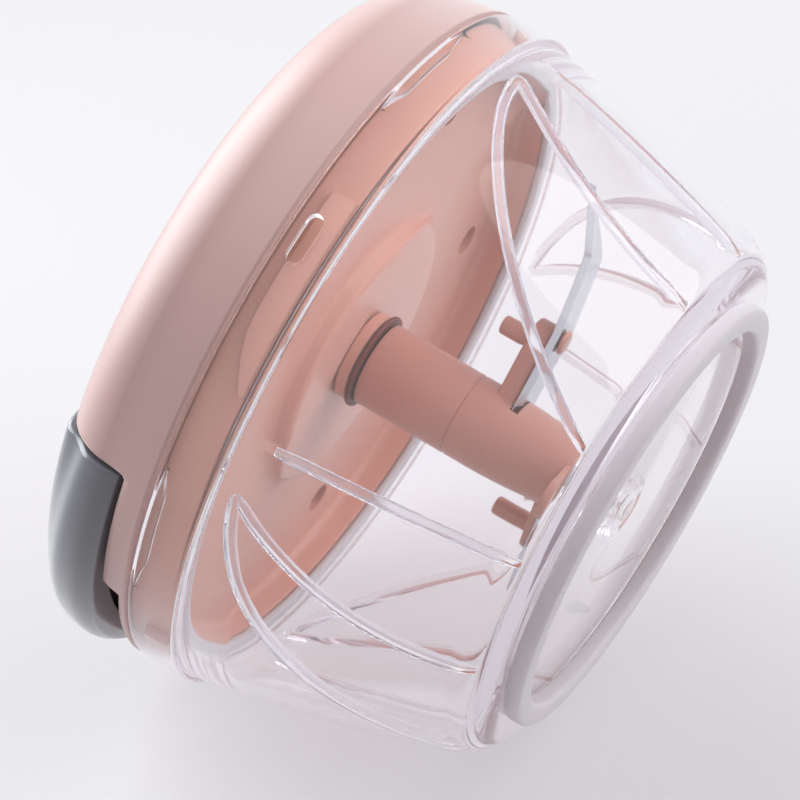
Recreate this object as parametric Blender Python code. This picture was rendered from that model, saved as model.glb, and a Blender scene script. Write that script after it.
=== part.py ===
"""Pull-cord food chopper: a ribbed clear bowl, a twist-on lid with its cord reel, and a two-blade column.

The bowl stands on its foot at z = 0 and +Z runs up its axis. The pull handle is at the front, towards -Y.
Lengths below are millimetres; every shape function turns them into metres as it places its points.
"""

import math

import bmesh
import bpy
from mathutils import Matrix, Vector

MM = 0.001
SEAT = 0.3

# Bowl
RIM_RADIUS = 62.4
RIM_HEIGHT = 62.0
COLLAR_DEPTH = 9.1
STEP_HEIGHT = RIM_HEIGHT - COLLAR_DEPTH
STEP_DEPTH = 1.1
BOWL_WALL = 2.0
WALL_TAPER = 12.1
HEEL_RADIUS = RIM_RADIUS - WALL_TAPER
HEEL_HEIGHT = 10.0
WALL_BULGE = 1.0
HEEL_ROUND = 6.1
BASE_RADIUS = HEEL_RADIUS - HEEL_ROUND
FLOOR_THICKNESS = 2.6
FLOOR_FILLET = 3.6
LEDGE_WIDTH = 2.4
LEDGE_HEIGHT = STEP_HEIGHT + 0.2
LEDGE_RADIUS = RIM_RADIUS - BOWL_WALL - LEDGE_WIDTH
RIB_WIDTH = 2.0
RIB_RISE = 1.3
PETALS = 4
PETAL_AZIMUTH = 46.0
PETAL_TOP = STEP_HEIGHT - 2.9
LONG_SWEEP = 55.0
LONG_CURVE = 1.75
SHORT_SWEEP = 17.0
STRAIGHT_AZIMUTH = 56.0
STRAIGHT_TOP = STEP_HEIGHT - 5.9
RIB_FOOT = 6.5
WINDOW_AZIMUTH = -4.0
WINDOW_HEIGHT = RIM_HEIGHT - 3.6
WINDOW_LENGTH = 8.8
WINDOW_WIDTH = 2.9

# Foot ring and pivot pin
FOOT_INSET = 4.2
FOOT_RADIUS = BASE_RADIUS - FOOT_INSET
FOOT_HEIGHT = 3.1
FOOT_WIDTH = 4.4
FOOT_RIB_HEIGHT = 1.9
FOOT_RIB_WIDTH = 1.2
PIN_RADIUS = 2.0
PIN_BOSS_RADIUS = 5.0
PIN_BOSS_HEIGHT = 2.0
PIN_REACH = 8.0
PIN_DEPTH = 3.2

# Twist lock between bowl and lid
LUG_COUNT = 4
LID_LUG_AZIMUTH = -12.0
LID_LUG_SPAN = 34.0
LID_LUG_HEIGHT = 4.6
LID_LUG_REACH = 1.6
BOWL_LUG_SPAN = 28.0
BOWL_LUG_HEIGHT = 2.0
BOWL_LUG_REACH = 1.5

# Lid base, with the plug that enters the bowl
PLUG_GAP = 2.1
PLUG_RADIUS = RIM_RADIUS - BOWL_WALL - PLUG_GAP
PLUG_WALL = 2.2
PLUG_BOTTOM = LEDGE_HEIGHT + 1.8
BASE_PLATE_BOTTOM = RIM_HEIGHT - 1.8
BASE_PLATE = 2.0
DISH_RADIUS = 26.0
DISH_DEPTH = 2.7
SEAL_WIDTH = 2.6
SPIGOT_RADIUS = 5.0

# Lid cover
COVER_GAP = 0.4
COVER_WALL = 2.2
SIDE_LEAN = 1.4
SHOULDER_RADIUS = RIM_RADIUS - SIDE_LEAN
SHOULDER_ROUND = 11.0
CROWN_RADIUS = SHOULDER_RADIUS - SHOULDER_ROUND
CROWN_RISE = 0.9
CROWN_ROOM = 1.08
COVER_LIP = 1.5

# Screws that hold the lid together
SCREW_AZIMUTHS = (-20.0, 50.0, 130.0, 200.0)
SCREW_INSET = 15.4
SCREW_CIRCLE = RIM_RADIUS - SCREW_INSET
SCREW_RADIUS = 1.3
SCREW_HEAD_RADIUS = 2.6
SCREW_HEAD_HEIGHT = 1.7
SCREW_LENGTH = 9.0
WELL_WALL = 1.6
WELL_TOP = BASE_PLATE_BOTTOM + 5.8
BOSS_WALL = 2.2

# Pull handle and the pocket that it lies in
HANDLE_HALF_ANGLE = 39.6
POCKET_DEPTH = 18.4
POCKET_RADIUS = RIM_RADIUS - POCKET_DEPTH
POCKET_LIFT = 7.3
POCKET_FLOOR = BASE_PLATE_BOTTOM + POCKET_LIFT
POCKET_WALL = 2.0
HANDLE_GAP = 0.6
HANDLE_SETBACK = 0.8
HANDLE_RADIUS = RIM_RADIUS - HANDLE_SETBACK
HANDLE_BULGE = 2.7
HANDLE_BACK = 3.6
HANDLE_RISE = 0.5
GRIP_HOLLOW_ANGLE = 20.0
GRIP_HOLLOW_DEPTH = 4.6
GRIP_LIP = 3.0
SCOOP_ANGLE = 16.0
SCOOP_DEPTH = 3.5
SCOOP_REACH = 7.5

# Cord, reel and spring
CORD_RADIUS = 0.9
CORD_TRAVEL = 280.0
CORD_GAP = 0.5
LOOP_POINTS = 24
REEL_CORE = 17.0
REEL_FLANGE = 23.0
REEL_FLANGE_THICKNESS = 1.2
REEL_LIFT = 5.2
REEL_BOTTOM = BASE_PLATE_BOTTOM + REEL_LIFT
GUIDE_RADIUS = 3.0
GUIDE_FLANGE = 1.1
KNOT_RADIUS = 2.5
AXLE_RADIUS = 2.3
AXLE_HEAD_RADIUS = 4.0
AXLE_HEAD_HEIGHT = 1.5
RUNNING = 0.3
SPRING_HEIGHT = 2.6
SPRING_STRIP = 0.5
SPRING_TURNS = 6
SPRING_INNER = 7.0
SPRING_OUTER = 19.4
SPRING_CASE_WALL = 1.6
SPRING_DISC = 0.6
SLEEVE_RADIUS = 5.4

# Lid height, from the reel, its cord and the spring above it
WINDING_TURNS = CORD_TRAVEL / (2 * math.pi * (REEL_CORE + SEAT + CORD_RADIUS))
REEL_GROOVE = 2 * SEAT + 2 * CORD_RADIUS + (2 * CORD_RADIUS + CORD_GAP) * WINDING_TURNS
REEL_TOP = REEL_BOTTOM + 2 * REEL_FLANGE_THICKNESS + REEL_GROOVE
SLEEVE_TOP = REEL_TOP + RUNNING + SPRING_DISC + SEAT + SPRING_HEIGHT
CROWN_HEIGHT = SLEEVE_TOP + CROWN_ROOM + COVER_WALL - CROWN_RISE
SHOULDER_HEIGHT = CROWN_HEIGHT - SHOULDER_ROUND

# One-way drive
RATCHET_TEETH = 10
RATCHET_RADIUS = 16.0
RATCHET_ROOT = 14.2
RATCHET_TIP = 12.6
RATCHET_HEIGHT = 3.6
HUB_DISC = 1.5
PAWL_CIRCLE = 8.0
PAWL_PIN_RADIUS = 1.1
PAWL_EYE_RADIUS = 2.5
PAWL_THICKNESS = 2.6
PAWL_TIP_RADIUS = 13.3
PAWL_TIP_AZIMUTH = 39.0
PAWL_TIP_DEPTH = 2.2

# Blade column
COLLAR_RADIUS = 8.0
COLLAR_HEIGHT = 2.2
WASHER_RADIUS = 8.6
WASHER_HEIGHT = 0.8
COLUMN_RADIUS = 7.5
COLUMN_BOTTOM = 10.4
COLUMN_TIP_RADIUS = 3.3
COLUMN_JOINT = 36.0
OGIVE_TOP = 31.0
HEX_RADIUS = 4.4
HEX_DEPTH = 9.0
ARM_WIDTH = 7.0
ARM_THICKNESS = 3.6
ARM_REACH = 21.0
LUG_AZIMUTH = -38.0
LUG_HEIGHT = 12.4
LUG_REACH = 16.5
PEG_RADIUS = 1.7
PEG_HEIGHT = 5.4
PEG_CIRCLE = 16.7
BLADE_THICKNESS = 1.0
BLADE_ROOT = 5.0
BLADE_WIDTH = 9.6
BLADE_HOOK = 4.6
BLADE_GRIND = 1.6
BLADE_BEND_START = 20.0
BLADE_FOLD = 0.56
BLADE_SLOPE = 0.22
BLADE_TIP_WIDTH = 1.4
STAKE_CIRCLE = 19.0
STAKE_RADIUS = 1.3
STAKE_HEAD_RADIUS = 2.2
STAKE_HEAD_HEIGHT = 0.8
UPPER_BLADE_HEIGHT = 27.8
UPPER_BLADE_AZIMUTH = 66.0
UPPER_BLADE_GAP = 10.2
UPPER_BLADE_LIFT = 5.5
LOWER_BLADE_HEIGHT = 16.6
LOWER_BLADE_AZIMUTH = -155.0
LOWER_BLADE_GAP = 8.6
LOWER_BLADE_LIFT = -6.0

ROUND = 64
SMALL_ROUND = 24


def clear_scene():
    for item in list(bpy.data.objects):
        bpy.data.objects.remove(item, do_unlink=True)


def material(name, color, roughness, metallic=0.0, alpha=1.0, transmission=0.0):
    """A Principled material named for the piece it belongs to."""
    made = bpy.data.materials.new(name)
    made.use_nodes = True
    shader = made.node_tree.nodes["Principled BSDF"]
    shader.inputs["Base Color"].default_value = (*color, 1.0)
    shader.inputs["Roughness"].default_value = roughness
    shader.inputs["Metallic"].default_value = metallic
    shader.inputs["Alpha"].default_value = alpha
    shader.inputs["Transmission Weight"].default_value = transmission
    return made


def polar(radius, azimuth):
    """The x and y of a point at this radius and this azimuth in degrees."""
    return radius * math.cos(math.radians(azimuth)), radius * math.sin(math.radians(azimuth))


def lerp(a, b, share):
    return a + (b - a) * share


def bend(start, corner, end, steps):
    """Points of a smooth curve from start to end that leaves and arrives along the lines to corner."""
    points = []
    for step in range(steps + 1):
        t = step / steps
        points.append(tuple(
            (1 - t) ** 2 * a + 2 * t * (1 - t) * b + t * t * c
            for a, b, c in zip(start, corner, end)
        ))
    return points


def finish(bm, name, surface, helper=False, smooth_angle=35.0):
    """Turns the mesh being built into a named object, in metres, with its faces outward."""
    bmesh.ops.remove_doubles(bm, verts=bm.verts, dist=1e-4)
    bmesh.ops.recalc_face_normals(bm, faces=bm.faces)
    bmesh.ops.scale(bm, vec=(MM, MM, MM), verts=bm.verts)
    mesh = bpy.data.meshes.new(name)
    bm.to_mesh(mesh)
    bm.free()
    mesh.shade_smooth()
    mesh.set_sharp_from_angle(angle=math.radians(smooth_angle))
    made = bpy.data.objects.new(name, mesh)
    bpy.context.collection.objects.link(made)
    if helper:
        made.hide_render = True
        made.display_type = "WIRE"
    else:
        mesh.materials.append(surface)
    return made


def turned(name, outline, surface=None, steps=ROUND, closed=True, helper=False):
    """A solid turned about Z from (radius, height) points. An open outline starts and ends on the axis."""
    bm = bmesh.new()
    points = [bm.verts.new((radius, 0, height)) for radius, height in outline]
    pairs = list(zip(points, points[1:])) + ([(points[-1], points[0])] if closed else [])
    edges = [bm.edges.new(pair) for pair in pairs]
    bmesh.ops.spin(
        bm, geom=points + edges, cent=(0, 0, 0), axis=(0, 0, 1),
        angle=2 * math.pi, steps=steps, use_merge=True,
    )
    return finish(bm, name, surface, helper)


def lofted(name, sections, surface=None, helper=False, smooth_angle=35.0):
    """A closed skin through rings of (x, y, z) points, capped at the first and the last ring."""
    bm = bmesh.new()
    rings = [[bm.verts.new(point) for point in section] for section in sections]
    for ring, following in zip(rings, rings[1:]):
        for i in range(len(ring)):
            j = (i + 1) % len(ring)
            bm.faces.new((ring[i], ring[j], following[j], following[i]))
    bm.faces.new(rings[0])
    bm.faces.new(rings[-1])
    return finish(bm, name, surface, helper, smooth_angle)


def prism(name, outline, low, high, surface=None, helper=False):
    """An outline of (x, y) points drawn up from low to high."""
    sections = [[(x, y, z) for x, y in outline] for z in (low, high)]
    return lofted(name, sections, surface, helper)


def circle(radius, centre=(0.0, 0.0), steps=SMALL_ROUND, start=0.0):
    return [
        (centre[0] + radius * math.cos(2 * math.pi * i / steps + math.radians(start)),
         centre[1] + radius * math.sin(2 * math.pi * i / steps + math.radians(start)))
        for i in range(steps)
    ]


def rod(name, start, end, radius, surface=None, helper=False, steps=16):
    """A round bar between two points."""
    start, end = Vector(start), Vector(end)
    turn = (end - start).to_track_quat("Z", "Y")
    ring = [Vector((x, y, 0)) for x, y in circle(radius, steps=steps)]
    sections = [[tuple(place + turn @ point) for point in ring] for place in (start, end)]
    return lofted(name, sections, surface, helper)


def sector(inner, outer, azimuth, half_angle, steps):
    """The (x, y) outline of a ring's sector, centred on an azimuth."""
    angles = [azimuth - half_angle + 2 * half_angle * i / steps for i in range(steps + 1)]
    return [polar(outer, a) for a in angles] + [polar(inner, a) for a in reversed(angles)]


def cut(target, cutter, label):
    tool = target.modifiers.new(label, "BOOLEAN")
    tool.operation = "DIFFERENCE"
    tool.object = cutter
    return tool


def join(target, addition, label):
    tool = target.modifiers.new(label, "BOOLEAN")
    tool.operation = "UNION"
    tool.object = addition
    return tool


def pivot(name, x, y, z):
    """An empty on a joint's axis, which the pieces of a moving body hang from."""
    empty = bpy.data.objects.new(name, None)
    empty.empty_display_size = 0.01
    empty.location = (x * MM, y * MM, z * MM)
    bpy.context.collection.objects.link(empty)
    return empty


def hang(pieces, empty):
    """Parents pieces to an empty without moving them."""
    for piece in pieces:
        piece.parent = empty
        piece.matrix_parent_inverse = Matrix.Translation(-empty.location)


# Bowl profile

def outer_radius(height):
    """The bowl's outer radius between its heel and the step under its collar."""
    share = (height - HEEL_HEIGHT) / (STEP_HEIGHT - HEEL_HEIGHT)
    straight = lerp(HEEL_RADIUS, RIM_RADIUS - STEP_DEPTH, share)
    return straight + 4 * WALL_BULGE * share * (1 - share)


def inner_radius(height):
    """The bowl's inner radius on its tapered wall, never wider than the ledge that carries the seal."""
    return min(outer_radius(height) - BOWL_WALL, LEDGE_RADIUS)


def floor_top():
    return FOOT_HEIGHT + SEAT + FLOOR_THICKNESS


def bowl_outline():
    underside = FOOT_HEIGHT + SEAT
    step_radius = RIM_RADIUS - STEP_DEPTH
    outline = [
        (RIM_RADIUS - 0.5, RIM_HEIGHT),
        (RIM_RADIUS, RIM_HEIGHT - 0.5),
        (RIM_RADIUS, STEP_HEIGHT + 0.5),
        (RIM_RADIUS - 0.4, STEP_HEIGHT),
        (step_radius, STEP_HEIGHT - 0.3),
    ]
    for share in (0.8, 0.6, 0.4, 0.2):
        height = lerp(HEEL_HEIGHT, STEP_HEIGHT, share)
        outline.append((outer_radius(height), height))
    slope = (step_radius - HEEL_RADIUS) / (STEP_HEIGHT - HEEL_HEIGHT)
    drop = 0.8 * (HEEL_HEIGHT - underside)
    heel = bend(
        (HEEL_RADIUS, HEEL_HEIGHT),
        (HEEL_RADIUS - 1.3 * slope * drop, HEEL_HEIGHT - drop),
        (BASE_RADIUS, underside), 4,
    )
    outline += heel
    rib = foot_rib_radii()
    outline += [
        (rib[1], underside),
        (rib[1], underside - FOOT_RIB_HEIGHT),
        (rib[0], underside - FOOT_RIB_HEIGHT),
        (rib[0], underside),
        (0, underside),
        (0, floor_top()),
    ]
    wall_foot = floor_top() + FLOOR_FILLET
    wall_radius = outer_radius(wall_foot) - BOWL_WALL
    outline += bend(
        (wall_radius - FLOOR_FILLET, floor_top()),
        (wall_radius - 0.3 * FLOOR_FILLET, floor_top()),
        (wall_radius, wall_foot), 4,
    )
    for share in (0.3, 0.6):
        height = lerp(wall_foot, STEP_HEIGHT, share)
        outline.append((inner_radius(height), height))
    outline += [
        (LEDGE_RADIUS, ledge_start()),
        (LEDGE_RADIUS, LEDGE_HEIGHT),
        (RIM_RADIUS - BOWL_WALL, LEDGE_HEIGHT),
        (RIM_RADIUS - BOWL_WALL, RIM_HEIGHT),
    ]
    return outline


def ledge_start():
    """The height where the tapered inner wall reaches the ledge's radius."""
    low, high = HEEL_HEIGHT, STEP_HEIGHT
    for _ in range(40):
        middle = (low + high) / 2
        if outer_radius(middle) - BOWL_WALL < LEDGE_RADIUS:
            low = middle
        else:
            high = middle
    return high


def foot_rib_radii():
    centre = FOOT_RADIUS - FOOT_WIDTH / 2
    return centre - FOOT_RIB_WIDTH / 2, centre + FOOT_RIB_WIDTH / 2


def rib(name, route):
    """A half-round ridge along (azimuth, height) points on the bowl's inner wall, as a helper to be joined."""
    sections = []
    spots = [Vector((*polar(inner_radius(height), azimuth), height)) for azimuth, height in route]
    for index, spot in enumerate(spots):
        ahead = spots[min(index + 1, len(spots) - 1)] - spots[max(index - 1, 0)]
        inward = Vector((-spot.x, -spot.y, 0)).normalized()
        across = ahead.normalized().cross(inward).normalized()
        rise = RIB_RISE if 0 < index < len(spots) - 1 else 0.6 * RIB_RISE
        profile = (
            (-0.5, -0.7), (-0.42, 0.45), (-0.2, 0.95), (0.2, 0.95), (0.42, 0.45), (0.5, -0.7),
        )
        sections.append([
            tuple(spot + across * (RIB_WIDTH * side) + inward * (rise * up if up > 0 else up))
            for side, up in profile
        ])
    return lofted(name, sections, helper=True)


def bowl_ribs():
    """Petals of two curved ribs that meet under the ledge, with a straight rib between each pair."""
    ribs = []
    height = PETAL_TOP - RIB_FOOT
    for petal in range(PETALS):
        turn = 360.0 / PETALS * petal
        apex = PETAL_AZIMUTH + turn
        long_route = [(apex - LONG_SWEEP * t, PETAL_TOP - height * t ** LONG_CURVE) for t in shares(10)]
        short_route = [
            (apex - SHORT_SWEEP * (1 - (1 - t) ** 2), PETAL_TOP - height * t) for t in shares(6)
        ]
        straight = STRAIGHT_AZIMUTH + turn
        straight_route = [(straight, lerp(STRAIGHT_TOP, RIB_FOOT, t)) for t in shares(3)]
        ribs.append(rib(f"long_rib_{petal + 1}", long_route))
        ribs.append(rib(f"short_rib_{petal + 1}", short_route))
        ribs.append(rib(f"straight_rib_{petal + 1}", straight_route))
    return ribs


def shares(count):
    """Even steps from 0 to 1."""
    return [index / (count - 1) for index in range(count)]


def build_bowl():
    clear = material("clear_plastic", (0.93, 0.92, 0.96), 0.06, alpha=0.35, transmission=1.0)
    bowl = turned("bowl", bowl_outline(), clear)
    for ridge in bowl_ribs():
        join(bowl, ridge, ridge.name)
    low = RIM_HEIGHT - BOWL_LUG_HEIGHT
    collar = RIM_RADIUS - BOWL_WALL
    for index in range(LUG_COUNT):
        azimuth = LID_LUG_AZIMUTH + 360.0 / LUG_COUNT * (index + 0.5)
        outline = sector(collar - BOWL_LUG_REACH, collar + 0.5 * BOWL_WALL, azimuth, BOWL_LUG_SPAN / 2, 6)
        lug = prism(f"bowl_lug_{index + 1}", outline, low, RIM_HEIGHT - 0.2, helper=True)
        join(bowl, lug, lug.name)
    boss = turned("pin_boss", [
        (0, floor_top() - 0.8),
        (PIN_BOSS_RADIUS + 1.0, floor_top() - 0.8),
        (PIN_BOSS_RADIUS, floor_top() + 0.6),
        (PIN_BOSS_RADIUS - 1.2, floor_top() + PIN_BOSS_HEIGHT),
        (0, floor_top() + PIN_BOSS_HEIGHT),
    ], steps=SMALL_ROUND, closed=False, helper=True)
    join(bowl, boss, boss.name)
    socket_floor = floor_top() + PIN_BOSS_HEIGHT - PIN_DEPTH - SEAT
    socket = rod(
        "pin_socket", (0, 0, socket_floor), (0, 0, floor_top() + PIN_BOSS_HEIGHT + 1),
        PIN_RADIUS + SEAT, helper=True, steps=16,
    )
    cut(bowl, socket, socket.name)
    slot = window_cutter()
    cut(bowl, slot, slot.name)
    return bowl


def window_cutter():
    """The long hole with round ends in the collar, through which the lid's lug is seen."""
    half = WINDOW_LENGTH / 2 - WINDOW_WIDTH / 2
    outline = []
    for side in (1, -1):
        for step in range(7):
            angle = math.radians(-90 + 30 * step) if side > 0 else math.radians(90 + 30 * step)
            outline.append((
                side * half + WINDOW_WIDTH / 2 * math.cos(angle),
                WINDOW_HEIGHT + WINDOW_WIDTH / 2 * math.sin(angle),
            ))
    turn = Matrix.Rotation(math.radians(WINDOW_AZIMUTH), 3, "Z")
    depths = (RIM_RADIUS - BOWL_WALL - 0.4, RIM_RADIUS + 2.0)
    sections = [[tuple(turn @ Vector((depth, x, z))) for x, z in outline] for depth in depths]
    return lofted("window", sections, helper=True)


def build_foot_ring():
    silicone = material("silicone", (0.88, 0.86, 0.84), 0.45, alpha=0.85)
    inner, outer = FOOT_RADIUS - FOOT_WIDTH, FOOT_RADIUS
    rib_inner, rib_outer = foot_rib_radii()
    groove = FOOT_HEIGHT + SEAT - FOOT_RIB_HEIGHT - SEAT
    return turned("foot_ring", [
        (outer, FOOT_HEIGHT), (outer, 0.6), (outer - 0.6, 0),
        (inner + 0.6, 0), (inner, 0.6), (inner, FOOT_HEIGHT),
        (rib_inner - SEAT, FOOT_HEIGHT), (rib_inner - SEAT, groove),
        (rib_outer + SEAT, groove), (rib_outer + SEAT, FOOT_HEIGHT),
    ], silicone, steps=48)


def build_bowl_pin():
    steel = material("pin_steel", (0.62, 0.62, 0.64), 0.25, metallic=1.0)
    low = pin_top() - PIN_REACH - PIN_DEPTH
    return turned("bowl_pin", [
        (0, pin_top()), (PIN_RADIUS - 0.7, pin_top()), (PIN_RADIUS, pin_top() - 1.0),
        (PIN_RADIUS, low), (0, low),
    ], steel, steps=16, closed=False)


def pin_top():
    return floor_top() + PIN_BOSS_HEIGHT + PIN_REACH


def build_seal():
    silicone = material("seal_silicone", (0.90, 0.89, 0.90), 0.4, alpha=0.85)
    low = LEDGE_HEIGHT + SEAT
    high = PLUG_BOTTOM - SEAT
    outer = PLUG_RADIUS + 0.2
    return turned("lid_seal", [
        (outer - 0.2, high), (outer, high - 0.3), (outer, low + 0.3), (outer - 0.2, low),
        (outer - SEAL_WIDTH, low), (outer - SEAL_WIDTH, high),
    ], silicone, steps=48)


# Lid base

def dish_floor():
    """Underside height of the round dish in the middle of the lid base."""
    return BASE_PLATE_BOTTOM - DISH_DEPTH


def build_lid_base():
    pink = material("lid_base_pink", (0.62, 0.37, 0.34), 0.45)
    top = BASE_PLATE_BOTTOM + BASE_PLATE
    inner = PLUG_RADIUS - PLUG_WALL
    bore = SPIGOT_RADIUS + RUNNING
    base = turned("lid_base", [
        (PLUG_RADIUS - 0.4, top),
        (PLUG_RADIUS, top - 0.4),
        (PLUG_RADIUS, PLUG_BOTTOM + 0.4),
        (PLUG_RADIUS - 0.4, PLUG_BOTTOM),
        (inner, PLUG_BOTTOM),
        (inner, BASE_PLATE_BOTTOM),
        (DISH_RADIUS + 1.2, BASE_PLATE_BOTTOM),
        (DISH_RADIUS, BASE_PLATE_BOTTOM - 0.6),
        (DISH_RADIUS - 0.5, dish_floor() + 0.6),
        (DISH_RADIUS - 1.3, dish_floor()),
        (bore, dish_floor()),
        (bore, dish_floor() + BASE_PLATE),
        (DISH_RADIUS - BASE_PLATE, dish_floor() + BASE_PLATE),
        (DISH_RADIUS - BASE_PLATE, top),
    ], pink, steps=48)
    for index in range(LUG_COUNT):
        azimuth = LID_LUG_AZIMUTH + 360.0 / LUG_COUNT * index
        lug = lid_lug(f"lid_lug_{index + 1}", azimuth)
        join(base, lug, lug.name)
    for index, azimuth in enumerate(SCREW_AZIMUTHS):
        x, y = polar(SCREW_CIRCLE, azimuth)
        well = rod(
            f"well_{index + 1}", (x, y, BASE_PLATE_BOTTOM + 0.5), (x, y, WELL_TOP),
            SCREW_HEAD_RADIUS + SEAT + WELL_WALL, helper=True,
        )
        join(base, well, well.name)
        head_top = WELL_TOP - WELL_WALL
        counterbore = rod(
            f"counterbore_{index + 1}", (x, y, BASE_PLATE_BOTTOM - 1), (x, y, head_top),
            SCREW_HEAD_RADIUS + SEAT, helper=True,
        )
        hole = rod(
            f"well_hole_{index + 1}", (x, y, head_top - 1), (x, y, WELL_TOP + 1),
            SCREW_RADIUS + SEAT, helper=True, steps=12,
        )
        cut(base, counterbore, counterbore.name)
        cut(base, hole, hole.name)
    return base


def lid_lug(name, azimuth):
    """A lug whose leading end rises in a round ramp, so that it slides under the bowl's lug."""
    low, high = PLUG_BOTTOM, PLUG_BOTTOM + LID_LUG_HEIGHT
    radii = (PLUG_RADIUS - 0.8, PLUG_RADIUS + LID_LUG_REACH)
    sections = []
    for share in shares(6):
        angle = azimuth + LID_LUG_SPAN * (share - 0.5)
        ramp = min(1.0, share / 0.35)
        lift = lerp(low + 0.9, high, math.sin(0.5 * math.pi * ramp))
        sections.append([
            (*polar(radii[0], angle), low + 0.2), (*polar(radii[1], angle), low + 0.2),
            (*polar(radii[1], angle), lift), (*polar(radii[0], angle), lift),
        ])
    return lofted(name, sections, helper=True)


# Lid cover

def cover_bottom():
    return RIM_HEIGHT + COVER_GAP


def cover_outline(offset=0.0, steps=7):
    """The cover's (radius, height) curve from its lower edge to its crown, moved in by an offset."""
    points = [(RIM_RADIUS - offset, cover_bottom())]
    for share in (0.5, 1.0):
        points.append((
            lerp(RIM_RADIUS, SHOULDER_RADIUS, share) - offset,
            lerp(cover_bottom(), SHOULDER_HEIGHT, share),
        ))
    for step in range(1, steps + 1):
        angle = 0.5 * math.pi * step / steps
        points.append((
            CROWN_RADIUS + (SHOULDER_RADIUS - CROWN_RADIUS - offset) * math.cos(angle),
            SHOULDER_HEIGHT + (CROWN_HEIGHT - SHOULDER_HEIGHT - offset) * math.sin(angle),
        ))
    for share in (0.35, 0.7, 1.0):
        points.append((
            CROWN_RADIUS * (1 - share),
            CROWN_HEIGHT - offset + CROWN_RISE * (1 - (1 - share) ** 2),
        ))
    return points


def inner_crown():
    """Height of the cover's inner face on the axis."""
    return CROWN_HEIGHT + CROWN_RISE - COVER_WALL


def pocket_outline(clearance):
    """The pocket in plan, open to the front and larger by a clearance on its closed sides."""
    spread = math.degrees(clearance / HANDLE_RADIUS)
    return sector(POCKET_RADIUS - clearance, RIM_RADIUS + 8, -90, HANDLE_HALF_ANGLE + 0.5 + spread, 12)


def build_lid_cover():
    pink = material("cover_pink", (0.66, 0.42, 0.39), 0.4)
    cover = turned("lid_cover", [(0, cover_bottom())] + cover_outline(), pink, closed=False)
    cavity = turned(
        "cover_cavity",
        [
            (0, cover_bottom() - 1), (PLUG_RADIUS + SEAT, cover_bottom() - 1),
            (PLUG_RADIUS + SEAT, cover_bottom() + COVER_LIP),
            (RIM_RADIUS - COVER_WALL, cover_bottom() + COVER_LIP),
        ] + cover_outline(COVER_WALL, 4)[1:],
        steps=48, closed=False, helper=True,
    )
    block = prism(
        "pocket_block", pocket_outline(POCKET_WALL), POCKET_FLOOR - POCKET_WALL, CROWN_HEIGHT + 5, helper=True,
    )
    cut(cavity, block, block.name)
    scoop_floor = POCKET_FLOOR - SCOOP_DEPTH
    scoop_block = prism(
        "scoop_block",
        sector(RIM_RADIUS - SCOOP_REACH - POCKET_WALL, RIM_RADIUS + 6, -90, SCOOP_ANGLE + 2.5, 8),
        cover_bottom() + 0.5, POCKET_FLOOR - 0.5, helper=True,
    )
    cut(cavity, scoop_block, scoop_block.name)
    ring = turned("case_ring_solid", [
        (SPRING_OUTER + 1.2 + SPRING_CASE_WALL, CROWN_HEIGHT),
        (SPRING_OUTER + 1.2 + SPRING_CASE_WALL, spring_bottom()),
        (SPRING_OUTER + 1.2, spring_bottom()),
        (SPRING_OUTER + 1.2, CROWN_HEIGHT),
    ], steps=32, helper=True)
    cut(cavity, ring, ring.name)
    axle_boss = rod(
        "axle_boss", (0, 0, SLEEVE_TOP + RUNNING), (0, 0, CROWN_HEIGHT), SLEEVE_RADIUS + 0.4, helper=True,
    )
    cut(cavity, axle_boss, axle_boss.name)
    for index, azimuth in enumerate(SCREW_AZIMUTHS):
        x, y = polar(SCREW_CIRCLE, azimuth)
        post = rod(
            f"screw_post_{index + 1}", (x, y, WELL_TOP + SEAT), (x, y, CROWN_HEIGHT + 3),
            SCREW_RADIUS + BOSS_WALL, helper=True, steps=12,
        )
        cut(cavity, post, post.name)
    cut(cover, cavity, cavity.name)
    pocket = prism("pocket", pocket_outline(0.0), POCKET_FLOOR, CROWN_HEIGHT + 6, helper=True)
    cut(cover, pocket, pocket.name)
    scoop = prism(
        "scoop", sector(RIM_RADIUS - SCOOP_REACH, RIM_RADIUS + 4, -90, SCOOP_ANGLE, 8),
        scoop_floor, POCKET_FLOOR + 1, helper=True,
    )
    cut(cover, scoop, scoop.name)
    axle_hole = rod(
        "axle_hole", (0, 0, inner_crown() - 3), (0, 0, axle_top() + SEAT), AXLE_RADIUS + SEAT, helper=True, steps=16,
    )
    cut(cover, axle_hole, axle_hole.name)
    for index, azimuth in enumerate(SCREW_AZIMUTHS):
        x, y = polar(SCREW_CIRCLE, azimuth)
        pilot = rod(
            f"pilot_{index + 1}", (x, y, WELL_TOP - 1), (x, y, screw_top() + SEAT),
            SCREW_RADIUS + SEAT, helper=True, steps=12,
        )
        cut(cover, pilot, pilot.name)
    guide_hole = rod(
        "guide_hole", (0, -POCKET_RADIUS - 2, cord_height()), (0, -POCKET_RADIUS + POCKET_WALL + 2, cord_height()),
        GUIDE_RADIUS + SEAT, helper=True,
    )
    cut(cover, guide_hole, guide_hole.name)
    return cover


def screw_top():
    return WELL_TOP - WELL_WALL - SEAT + SCREW_LENGTH


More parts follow.
